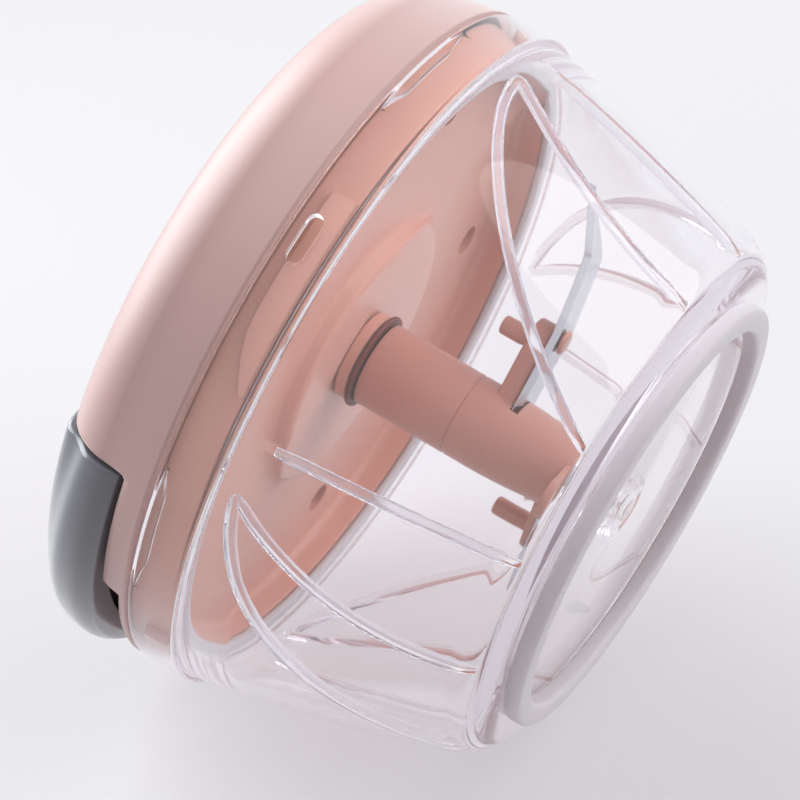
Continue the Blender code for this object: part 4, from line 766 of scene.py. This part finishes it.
def handleOutline(azimuth, inner):
    h = handleSize
    middle = math.cos(0.5 * math.pi * azimuth / h["halfAngle"])
    outer = h["radius"] + h["bulge"] * middle
    low = h["bottom"]
    front = [(outer - 2.6, low), (outer - 0.8, low + 0.7), (outer, low + 2.6), (outer - 0.1, low + 5.0),
             (outer - 1.0, low + 7.2 + 0.8 * middle), (outer - 3.2, low + 9.6 + 0.8 * middle),
             (lerp(inner, outer, 0.6), handleTop(lerp(inner, outer, 0.6))),
             (lerp(inner, outer, 0.3), handleTop(lerp(inner, outer, 0.3)))]
    high = handleTop(inner)
    outline = bend((inner, low + 0.7), (inner, low), (inner + 0.7, low), 3)
    outline += throughPoints([(inner + 3.0, low)] + front, 5)[1:]
    outline += bend((inner + 0.7, handleTop(inner + 0.7)), (inner, high), (inner, high - 0.7), 3)
    return outline


def inset(outline, amount):
    # the closed outline moved inward by an amount, point by point
    count = len(outline)
    area = sum(a[0] * b[1] - b[0] * a[1] for a, b in zip(outline, outline[1:] + outline[:1]))
    sign = 1 if area > 0 else -1
    result = []
    for i, (x, y) in enumerate(outline):
        before, after = Vector(outline[i - 1]), Vector(outline[(i + 1) % count])
        along = (after - before).normalized()
        result.append((x - sign * along.y * amount, y + sign * along.x * amount))
    return result


def barAcross(name, outlineAt, halfAngle, radius, edge, steps, material):
    # a bar bent round the axis with rounded ends, from the outline at each azimuth
    places = [(-halfAngle + math.degrees(edge * (1 - math.cos(0.5 * math.pi * i / 6)) / radius),
               edge * (1 - math.sin(0.5 * math.pi * i / 6))) for i in range(7)]
    inner = places[-1][0]
    run = [(lerp(inner, -inner, i / steps), 0.0) for i in range(1, steps)]
    places = places + run + [(-azimuth, amount) for azimuth, amount in reversed(places)]
    sections = []
    for azimuth, amount in places:
        outline = inset(outlineAt(azimuth), amount)
        sections.append([tuple(polar(r, azimuth - 90.0, z)) for r, z in outline])
    return loft(name, sections, material, 50.0)


def makeHandle():
    h = handleSize
    grip = barAcross("gripShell", lambda azimuth: handleOutline(azimuth, h["split"] + h["seat"]),
                     h["halfAngle"], h["middle"], h["edge"], 90, greyHandle)
    hollow = prism("gripHollow", sector(h["split"] + 3.5, h["radius"] - h["lip"], -90, h["hollowHalfAngle"], 40),
                   h["bottom"] - 2, h["bottom"] + h["hollowDepth"])
    hollow = applied(softened(hollow, 1.2, 4))
    chamber = rod("knotChamber", (0, -h["split"] - h["seat"] + 2, h["cordHeight"]),
                  (0, -h["knotCentre"] - h["knotRadius"] - 0.3, h["cordHeight"]), h["knotRadius"] + 0.3)
    grip = boolean(grip, [hollow, chamber], "DIFFERENCE", 50.0, greyHandle)
    place(grip, "handle", "handle_grey", "handle_grip")

    inner, outer, low = h["inner"], h["split"], h["bottom"]
    plate = rounded([(inner, low), (outer, low), (outer, handleTop(outer)), (inner, handleTop(inner))],
                    [0.5, 0.2, 0.2, 0.5], 4)
    back = barAcross("handlePlate", lambda azimuth: plate, h["halfAngle"] - h["plateInset"], h["plateMiddle"],
                     h["plateEdge"], 60, darkPlastic)
    bore = rod("plateBore", (0, -inner + 2, h["cordHeight"]), (0, -outer - 2, h["cordHeight"]), h["cordRadius"] + 0.3)
    back = boolean(back, [bore], "DIFFERENCE", 40.0, darkPlastic)
    place(back, "handle", "dark_plastic", "handle_back")


# Base of the lid

lidSize = {
    "plugRadius": 58.3, "plugWall": 2.2, "plugBottom": 54.9, "plateBottom": 60.2, "plate": 2.0, "dishRadius": 26.0,
    "dishDepth": 2.7, "bore": 5.3, "lugAzimuth": -12.0, "lugSpan": 34.0, "lugHeight": 4.6, "lugReach": 1.6,
    "wellRadius": 4.5, "wellTop": 66.0, "counterbore": 2.9, "counterboreTop": 64.4, "screwHole": 1.6,
}


def makeLidBase():
    b = lidSize
    top = b["plateBottom"] + b["plate"]
    dish = b["plateBottom"] - b["dishDepth"]
    inner = b["plugRadius"] - b["plugWall"]
    outline = bend((b["plugRadius"] - 0.5, top), (b["plugRadius"], top), (b["plugRadius"], top - 0.5), 4)
    outline += bend((b["plugRadius"], b["plugBottom"] + 0.5), (b["plugRadius"], b["plugBottom"]),
                    (b["plugRadius"] - 0.5, b["plugBottom"]), 4)
    outline += bend((inner + 0.5, b["plugBottom"]), (inner, b["plugBottom"]), (inner, b["plugBottom"] + 0.5), 4)
    outline += bend((inner, b["plateBottom"] - 2.2), (inner, b["plateBottom"]), (inner - 2.2, b["plateBottom"]), 8)
    outline += bend((b["dishRadius"] + 2.2, b["plateBottom"]), (b["dishRadius"] + 0.3, b["plateBottom"]),
                    (b["dishRadius"], b["plateBottom"] - 1.0), 8)
    outline += bend((b["dishRadius"] - 0.4, dish + 1.0), (b["dishRadius"] - 0.7, dish),
                    (b["dishRadius"] - 2.0, dish), 8)
    outline += [(b["bore"] + 0.3, dish), (b["bore"], dish + 0.3), (b["bore"], dish + b["plate"]),
                (b["dishRadius"] - b["plate"], dish + b["plate"]), (b["dishRadius"] - b["plate"], top)]
    base = lathe("lidPlate", outline, pinkInner, 240)
    lug = []
    for i in range(41):
        share = i / 40
        angle = b["lugAzimuth"] + b["lugSpan"] * (share - 0.5)
        ramp = min(1.0, share / 0.35)
        lift = lerp(b["plugBottom"] + 0.9, b["plugBottom"] + b["lugHeight"], math.sin(0.5 * math.pi * ramp))
        low = b["plugBottom"] + 0.2
        section = rounded([(b["plugRadius"] - 0.8, low), (b["plugRadius"] + b["lugReach"], low),
                           (b["plugRadius"] + b["lugReach"], lift), (b["plugRadius"] - 0.8, lift)], [0, 0.3, 0.3, 0], 3)
        lug.append([tuple(polar(r, angle, z)) for r, z in section])
    lugs = copyRing(loft("lidLug", lug), 4, 90.0, pinkInner)
    wells, holes = [], []
    for index, azimuth in enumerate(coverSize["screwAzimuths"]):
        spot = polar(coverSize["screwCircle"], azimuth)
        wells.append(rod(f"well{index}", (spot.x, spot.y, b["plateBottom"] + 0.5),
                         (spot.x, spot.y, b["wellTop"]), b["wellRadius"]))
        holes.append(rod(f"counterbore{index}", (spot.x, spot.y, b["plateBottom"] - 1),
                         (spot.x, spot.y, b["counterboreTop"]), b["counterbore"]))
        holes.append(rod(f"screwHole{index}", (spot.x, spot.y, b["counterboreTop"] - 1),
                         (spot.x, spot.y, b["wellTop"] + 1), b["screwHole"], 24))
    base = boolean(base, [lugs] + wells, "UNION", 35.0, pinkInner)
    base = boolean(base, holes, "DIFFERENCE", 35.0, pinkInner)
    place(base, "lid", "inner_pink", "lid_base")


screwSize = {"under": 64.1, "top": 73.1, "shank": 1.3, "point": 0.4, "pointLength": 1.4, "head": 2.6,
             "headHeight": 1.7, "slotLength": 1.3, "slotHalf": 0.24}


def makeScrews():
    s = screwSize
    under, top = s["under"], s["top"]
    for index, azimuth in enumerate(coverSize["screwAzimuths"]):
        spot = polar(coverSize["screwCircle"], azimuth)
        outline = [(0, top), (s["point"], top), (s["shank"], top - s["pointLength"]), (s["shank"], under),
                   (s["head"], under)]
        outline += bend((s["head"], under - 0.7), (2.5, under - 1.6), (1.4, under - s["headHeight"]), 6)
        outline.append((0, under - s["headHeight"]))
        screw = lathe(f"screwBody{index + 1}", outline, brightSteel, 48, closed=False)
        crossed = [prism(f"crossSlot{index}{side}", [(-a, -b), (a, -b), (a, b), (-a, b)], under - 2.5, under - 0.6)
                   for side, (a, b) in enumerate(((s["slotLength"], s["slotHalf"]), (s["slotHalf"], s["slotLength"])))]
        screw = boolean(screw, crossed, "DIFFERENCE", 35.0, brightSteel)
        screw.data.transform(Matrix.Translation((spot.x * mm, spot.y * mm, 0)))
        place(screw, "lid", "steel", f"lid_screw_{index + 1}")


# Column with its arms, collar and washer

columnSize = {
    "radius": 7.5, "top": 53.6, "joint": 36.0, "ogiveTop": 31.0, "bottom": 10.4, "tipRadius": 3.3, "hexRadius": 4.4,
    "hexDepth": 9.0, "boreRadius": 2.3, "boreTop": 16.3, "armWidth": 7.0, "armThickness": 3.6, "armReach": 21.0,
    "lugAzimuth": -38.0, "lugHeight": 12.4, "lugReach": 16.5, "edge": 0.6,
    "pegRadius": 1.7, "pegHeight": 5.4, "pegCircle": 16.7, "bladeThickness": 1.0, "bladeRoot": 5.0, "bladeHalf": 4.8,
    "stakeCircle": 19.0, "stakeRadius": 1.3, "stakeHeadRadius": 2.2, "stakeHeadHeight": 0.8, "seat": 0.3,
    "blades": (("upper", 27.8, 66.0, 10.2, 5.5), ("lower", 16.6, -155.0, 8.6, -6.0)),
}


def turnedTo(piece, azimuth):
    piece.data.transform(Matrix.Rotation(math.radians(azimuth), 4, "Z"))
    return piece


def armPlan(reach):
    c = columnSize
    half = c["armWidth"] / 2
    return [(3.2, -half)] + [(reach - half + half * math.cos(a), half * math.sin(a))
                             for a in (math.radians(-90 + 9 * i) for i in range(21))] + [(3.2, half)]


def makeColumn():
    c = columnSize
    radius, top, joint = c["radius"], c["top"], c["joint"]
    groove = radius - 0.3
    outline = [(0, top)] + bend((radius - 0.4, top), (radius, top), (radius, top - 0.4), 3)
    outline += bend((radius, joint + 0.35), (groove, joint + 0.05), (groove, joint), 3)
    outline += bend((groove, joint - 0.05), (groove, joint - 0.1), (radius, joint - 0.35), 3)
    for i in range(33):
        angle = 0.5 * math.pi * i / 32
        outline.append((lerp(c["tipRadius"], radius, math.cos(angle) ** 0.85 if i < 32 else 0.0),
                        lerp(c["ogiveTop"], c["bottom"], math.sin(angle) ** 1.15)))
    outline.append((0, c["bottom"]))
    column = lathe("columnShell", outline, pinkColumn, 96, closed=False)
    lug = prism("frontLug", armPlan(c["lugReach"]), c["lugHeight"], c["lugHeight"] + c["armThickness"])
    added, cuts = [turnedTo(applied(softened(lug, c["edge"], 3)), c["lugAzimuth"])], []
    for name, height, azimuth, _, _ in c["blades"]:
        low = height + c["bladeThickness"] / 2 + c["seat"]
        under = height - c["bladeThickness"] / 2 - c["seat"]
        arm = applied(softened(prism(f"{name}Arm", armPlan(c["armReach"]), low, low + c["armThickness"]), c["edge"], 3))
        pegTop = low + c["armThickness"] + c["pegHeight"]
        peg = lathe(f"{name}Peg", [(0, low + 1.0), (c["pegRadius"], low + 1.0),
                                   (c["pegRadius"], low + c["armThickness"] + 0.5)]
                    + bend((c["pegRadius"], pegTop - 0.6), (c["pegRadius"], pegTop), (c["pegRadius"] - 0.6, pegTop), 5)
                    + [(0, pegTop)], steps=40, closed=False)
        peg.data.transform(Matrix.Translation((c["pegCircle"] * mm, 0, 0)))
        head, foot = c["stakeHeadRadius"], under - c["stakeHeadHeight"]
        stake = lathe(f"{name}Stake", [(0, low + 1.6), (c["stakeRadius"], low + 1.6), (c["stakeRadius"], under),
                                       (head, under)]
                      + bend((head, under - 0.2), (head - 0.1, foot), (head - 0.9, foot), 4)
                      + [(0, foot)], steps=40, closed=False)
        stake.data.transform(Matrix.Translation((c["stakeCircle"] * mm, 0, 0)))
        near, far, side = c["bladeRoot"] - c["seat"], radius + 1, c["bladeHalf"] + c["seat"]
        slot = prism(f"{name}Slot", [(near, -side), (far, -side), (far, side), (near, side)], under, low)
        added += [turnedTo(arm, azimuth), turnedTo(peg, azimuth)]
        cuts.append((turnedTo(slot, azimuth), turnedTo(stake, azimuth)))
    column = boolean(column, added, "UNION", 40.0, pinkColumn)
    for slot, stake in cuts:
        column = boolean(column, [slot], "DIFFERENCE", 40.0, pinkColumn)
        column = boolean(column, [stake], "UNION", 40.0, pinkColumn)
    hexagon = prism("hexSocket", [(c["hexRadius"] * math.cos(a), c["hexRadius"] * math.sin(a))
                                  for a in (math.radians(60 * i) for i in range(6))], top - c["hexDepth"], top + 1)
    bore = rod("pivotBore", (0, 0, c["bottom"] - 1), (0, 0, c["boreTop"]), c["boreRadius"])
    column = boolean(column, [hexagon, bore], "DIFFERENCE", 40.0, pinkColumn)
    place(column, "blades", "inner_pink", "blade_column")


collarSize = {"bore": 5.3, "radius": 8.0, "top": 57.2, "bottom": 55.0}
washerSize = {"bore": 5.3, "radius": 8.6, "top": 54.7, "bottom": 53.9}


def ringOutline(size, radii):
    return rounded([(size["radius"], size["top"]), (size["radius"], size["bottom"]),
                    (size["bore"], size["bottom"]), (size["bore"], size["top"])], radii, 4)


def makeCollarAndWasher():
    collar = lathe("collarRing", ringOutline(collarSize, [0.4, 0.3, 0.1, 0.1]), pinkInner, 96)
    place(collar, "lid", "inner_pink", "hub_collar")
    washer = lathe("rubberWasher", ringOutline(washerSize, [0.3, 0.3, 0.1, 0.1]), brownRubber, 96)
    place(washer, "lid", "brown_rubber", "shaft_washer")


# Blades

bladeSize = {"width": 9.6, "hook": 4.6, "grind": 1.6, "bendStart": 20.0, "fold": 0.56, "slope": 0.22, "tipWidth": 1.4}


def smoothStep(share):
    share = min(1.0, max(0.0, share))
    return share * share * (3 - 2 * share)


def foldShare(out):
    # share of a blade's rise: a gentle slope up to the fold, then a steeper one up to the tip
    b = bladeSize
    if out <= b["fold"]:
        return b["slope"] * max(0.0, out) / b["fold"]
    return lerp(b["slope"], 1.0, (out - b["fold"]) / (1 - b["fold"]))


def makeBlades():
    b, c = bladeSize, columnSize
    half = b["width"] / 2
    thick = c["bladeThickness"] / 2
    for name, height, azimuth, gap, rise in c["blades"]:
        length = bowlInner(height + rise) - gap
        sections = []
        for i in range(61):
            reach = lerp(c["bladeRoot"], length, i / 60)
            out = (reach - b["bendStart"]) / (length - b["bendStart"])
            lift = rise * foldShare(out)
            curve = b["hook"] * max(0.0, out) ** 2
            front = -half - curve
            back = half - curve - (b["width"] - b["tipWidth"]) * smoothStep(2.2 * out - 1.2)
            grind = min(b["grind"], 0.6 * (back - front))
            low, high = height + lift - thick, height + lift + thick
            sections.append([(reach, back - 0.12, low), (reach, front + grind, low), (reach, front + 0.05, high - 0.16),
                             (reach, front, high - 0.08), (reach, front + 0.08, high), (reach, back - 0.12, high),
                             (reach, back, high - 0.12), (reach, back, low + 0.12)])
        blade = loft(f"{name}Blade", sections, bladeSteel, 25.0)
        hole = rod(f"{name}StakeHole", (c["stakeCircle"], 0, height - 2),
                   (c["stakeCircle"], 0, height + 2), c["stakeRadius"] + 0.3)
        blade = turnedTo(boolean(blade, [hole], "DIFFERENCE", 25.0, bladeSteel), azimuth)
        place(blade, "blades", "blade_steel", f"{name}_blade")


# Cord between the reel and the handle

cordSize = {"radius": 0.9, "height": 73.4, "winding": 18.2, "guide": 42.0, "start": 44.0, "end": 48.6,
            "turnIn": 3.5, "reelGap": 11.0}


def makeCord():
    # one cord through the guide and the handle's back plate to its stop, which starts clear of the turning reel
    c = cordSize
    azimuth = -90.0 - math.degrees(math.acos(c["winding"] / c["guide"]))
    leave = polar(c["winding"], azimuth, c["height"])
    guide = Vector((0, -c["guide"], c["height"]))
    away = (guide - leave).normalized()
    before = guide - away * c["turnIn"]
    path = [leave + away * lerp(c["reelGap"], (before - leave).length, i / 12) for i in range(12)]
    path += [Vector(p) for p in bend(before, Vector((0, before.y - 2.4, c["height"])),
                                     Vector((0, -c["start"] - 0.05, c["height"])), 10)]
    last = path[-1].y
    path += [Vector((0, lerp(last, -c["end"], i / 40), c["height"])) for i in range(1, 41)]
    sections = []
    for i, spot in enumerate(path):
        ahead = (path[min(i + 1, len(path) - 1)] - path[max(i - 1, 0)]).normalized()
        side = ahead.cross(Vector((0, 0, 1))).normalized()
        up = side.cross(ahead)
        sections.append([tuple(spot + c["radius"] * (side * math.cos(a) + up * math.sin(a)))
                         for a in (2 * math.pi * k / 20 for k in range(20))])
    cord = loft("pullCord", sections, cordWhite, 60.0)
    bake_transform(cord)
    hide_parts("cord_lead", "cord_tail")


makeCover()
print("the lid cover is made")
makeHandle()
print("the handle is made")
makeLidBase()
makeScrews()
print("the lid base and its screws are made")
makeColumn()
makeCollarAndWasher()
makeBlades()
makeCord()
print("the column, its blades and the cord are made")


# Every CAD node that still shows gets its finish

nodeFinishes = {
    "lid_base": pinkInner, "lid_cover": pinkCover, "hub_collar": pinkInner, "blade_column": pinkColumn,
    "handle_grip": greyHandle, "handle_back": darkPlastic, "pawl_1": darkPlastic, "pawl_2": darkPlastic,
    "shaft_washer": brownRubber, "cord_reel": nylonWhite, "drive_hub": nylonWhite, "cord_guide": nylonWhite,
    "cord_lead": cordWhite, "cord_tail": cordWhite, "cord_winding": cordWhite, "cord_stop": cordWhite,
    "lid_axle": brightSteel, "spring_disc": brightSteel, "return_spring": springSteel,
    "lid_screw_1": brightSteel, "lid_screw_2": brightSteel, "lid_screw_3": brightSteel, "lid_screw_4": brightSteel,
    "upper_blade": bladeSteel, "lower_blade": bladeSteel, "bowl_pin": brightSteel,
}
for nodeName, finish in nodeFinishes.items():
    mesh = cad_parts[nodeName].data
    mesh.materials.clear()
    mesh.materials.append(finish)


# Camera, floor and lights

viewSettings = {"azimuth": -14.0, "elevation": -13.375, "roll": -59.698, "lens": 179.54,
                "location": (0.6364, -0.16217, -0.10925)}
restSettings = {"contactAzimuth": -146.6, "lean": 15.7, "contactRadius": 62.4, "contactHeight": 52.9, "gap": 0.4}


def makeCamera():
    v = viewSettings
    data = bpy.data.cameras.new("camera")
    data.lens = v["lens"]
    data.sensor_width = 36.0
    data.clip_start = 0.01
    data.clip_end = 20
    camera = bpy.data.objects.new("camera", data)
    bpy.context.collection.objects.link(camera)
    back = Vector((math.cos(math.radians(v["elevation"])) * math.cos(math.radians(v["azimuth"])),
                   math.cos(math.radians(v["elevation"])) * math.sin(math.radians(v["azimuth"])),
                   math.sin(math.radians(v["elevation"]))))
    right = Vector((0, 0, 1)).cross(back).normalized()
    up = back.cross(right)
    roll = math.radians(v["roll"])
    turnedRight = right * math.cos(roll) + up * math.sin(roll)
    turnedUp = up * math.cos(roll) - right * math.sin(roll)
    turned = Matrix((turnedRight, turnedUp, back)).transposed().to_4x4()
    camera.matrix_world = Matrix.Translation(v["location"]) @ turned
    bpy.context.scene.camera = camera
    return turnedRight, turnedUp, back


def makeFloor():
    # the chopper lies on its side: the floor touches the collar and the heel
    r = restSettings
    lean = math.radians(r["lean"])
    away = polar(1.0, r["contactAzimuth"])
    normal = (-away * math.cos(lean) + Vector((0, 0, math.sin(lean)))).normalized()
    touch = (away * r["contactRadius"] + Vector((0, 0, r["contactHeight"]))) * mm
    bm = bmesh.new()
    bmesh.ops.create_grid(bm, x_segments=1, y_segments=1, size=3.0)
    floor = meshObject("floor", bm, scale=1.0)
    turned = normal.to_track_quat("Z", "Y").to_matrix().to_4x4()
    floor.matrix_world = Matrix.Translation(touch - normal * r["gap"] * mm) @ turned
    # white paper with a glow of its own, which fades out away from the chopper and can't be seen from below
    material, shader = shaderMaterial("floorWhite", srgb(220, 216, 219), 0.6)
    nodes, links = material.node_tree.nodes, material.node_tree.links
    glow = nodes.new("ShaderNodeEmission")
    glow.inputs["Color"].default_value = srgb(243, 243, 247)
    paper = nodes.new("ShaderNodeMixShader")
    paper.inputs[0].default_value = 0.44
    links.new(shader.outputs[0], paper.inputs[1])
    links.new(glow.outputs[0], paper.inputs[2])
    through = nodes.new("ShaderNodeBsdfTransparent")
    side = nodes.new("ShaderNodeNewGeometry")
    where = nodes.new("ShaderNodeTexCoord")
    reach = nodes.new("ShaderNodeVectorMath")
    reach.operation = "LENGTH"
    links.new(where.outputs["Object"], reach.inputs[0])
    fade = nodes.new("ShaderNodeMapRange")
    fade.inputs["From Min"].default_value = 0.13
    fade.inputs["From Max"].default_value = 0.26
    fade.interpolation_type = "SMOOTHSTEP"
    links.new(reach.outputs["Value"], fade.inputs["Value"])
    gone = nodes.new("ShaderNodeMath")
    gone.operation = "MAXIMUM"
    links.new(side.outputs["Backfacing"], gone.inputs[0])
    links.new(fade.outputs[0], gone.inputs[1])
    mix = nodes.new("ShaderNodeMixShader")
    links.new(gone.outputs[0], mix.inputs[0])
    links.new(paper.outputs[0], mix.inputs[1])
    links.new(through.outputs[0], mix.inputs[2])
    links.new(mix.outputs[0], nodes["Material Output"].inputs["Surface"])
    floor.data.materials.append(material)


def areaLight(name, direction, distance, size, power, color=(1, 1, 1)):
    data = bpy.data.lights.new(name, "AREA")
    data.shape = "DISK"
    data.size = size
    data.energy = power
    data.color = color
    light = bpy.data.objects.new(name, data)
    centre = Vector((0, 0, 0.042))
    direction = direction.normalized()
    light.location = centre + direction * distance
    light.rotation_mode = "QUATERNION"
    light.rotation_quaternion = (-direction).to_track_quat("-Z", "Y")
    bpy.context.collection.objects.link(light)
    return light


def makeWorld():
    world = bpy.data.worlds.new("studio")
    bpy.context.scene.world = world
    world.use_nodes = True
    nodes, links = world.node_tree.nodes, world.node_tree.links
    ambient = nodes["Background"]
    ambient.inputs["Color"].default_value = (1.0, 0.94, 0.94, 1)
    ambient.inputs["Strength"].default_value = 0.29
    shown = nodes.new("ShaderNodeBackground")
    shown.inputs["Color"].default_value = srgb(243, 243, 247)
    shown.inputs["Strength"].default_value = 1.0
    path = nodes.new("ShaderNodeLightPath")
    most = nodes.new("ShaderNodeMath")
    most.operation = "MAXIMUM"
    mostAll = nodes.new("ShaderNodeMath")
    mostAll.operation = "MAXIMUM"
    mix = nodes.new("ShaderNodeMixShader")
    links.new(path.outputs["Is Camera Ray"], most.inputs[0])
    links.new(path.outputs["Is Transmission Ray"], most.inputs[1])
    links.new(most.outputs[0], mostAll.inputs[0])
    links.new(path.outputs["Is Glossy Ray"], mostAll.inputs[1])
    links.new(mostAll.outputs[0], mix.inputs[0])
    links.new(ambient.outputs[0], mix.inputs[1])
    links.new(shown.outputs[0], mix.inputs[2])
    links.new(mix.outputs[0], nodes["World Output"].inputs["Surface"])


photoRight, photoUp, photoBack = makeCamera()
makeFloor()
keyLight = areaLight("keyLight", -0.9 * photoRight + 0.85 * photoUp - 0.2 * photoBack, 1.1, 1.3, 21.5,
                     (0.92, 1.0, 1.02))
fillLight = areaLight("fillLight", 0.9 * photoRight + 0.5 * photoUp + 0.35 * photoBack, 0.9, 1.0, 5.0)
keyLight.visible_transmission = fillLight.visible_transmission = False
makeWorld()
bpy.context.scene.view_settings.view_transform = "Standard"
for bounceKind in ("max_bounces", "glossy_bounces", "transmission_bounces", "transparent_max_bounces"):
    setattr(bpy.context.scene.cycles, bounceKind, 16)
print("camera, floor and lights are set")
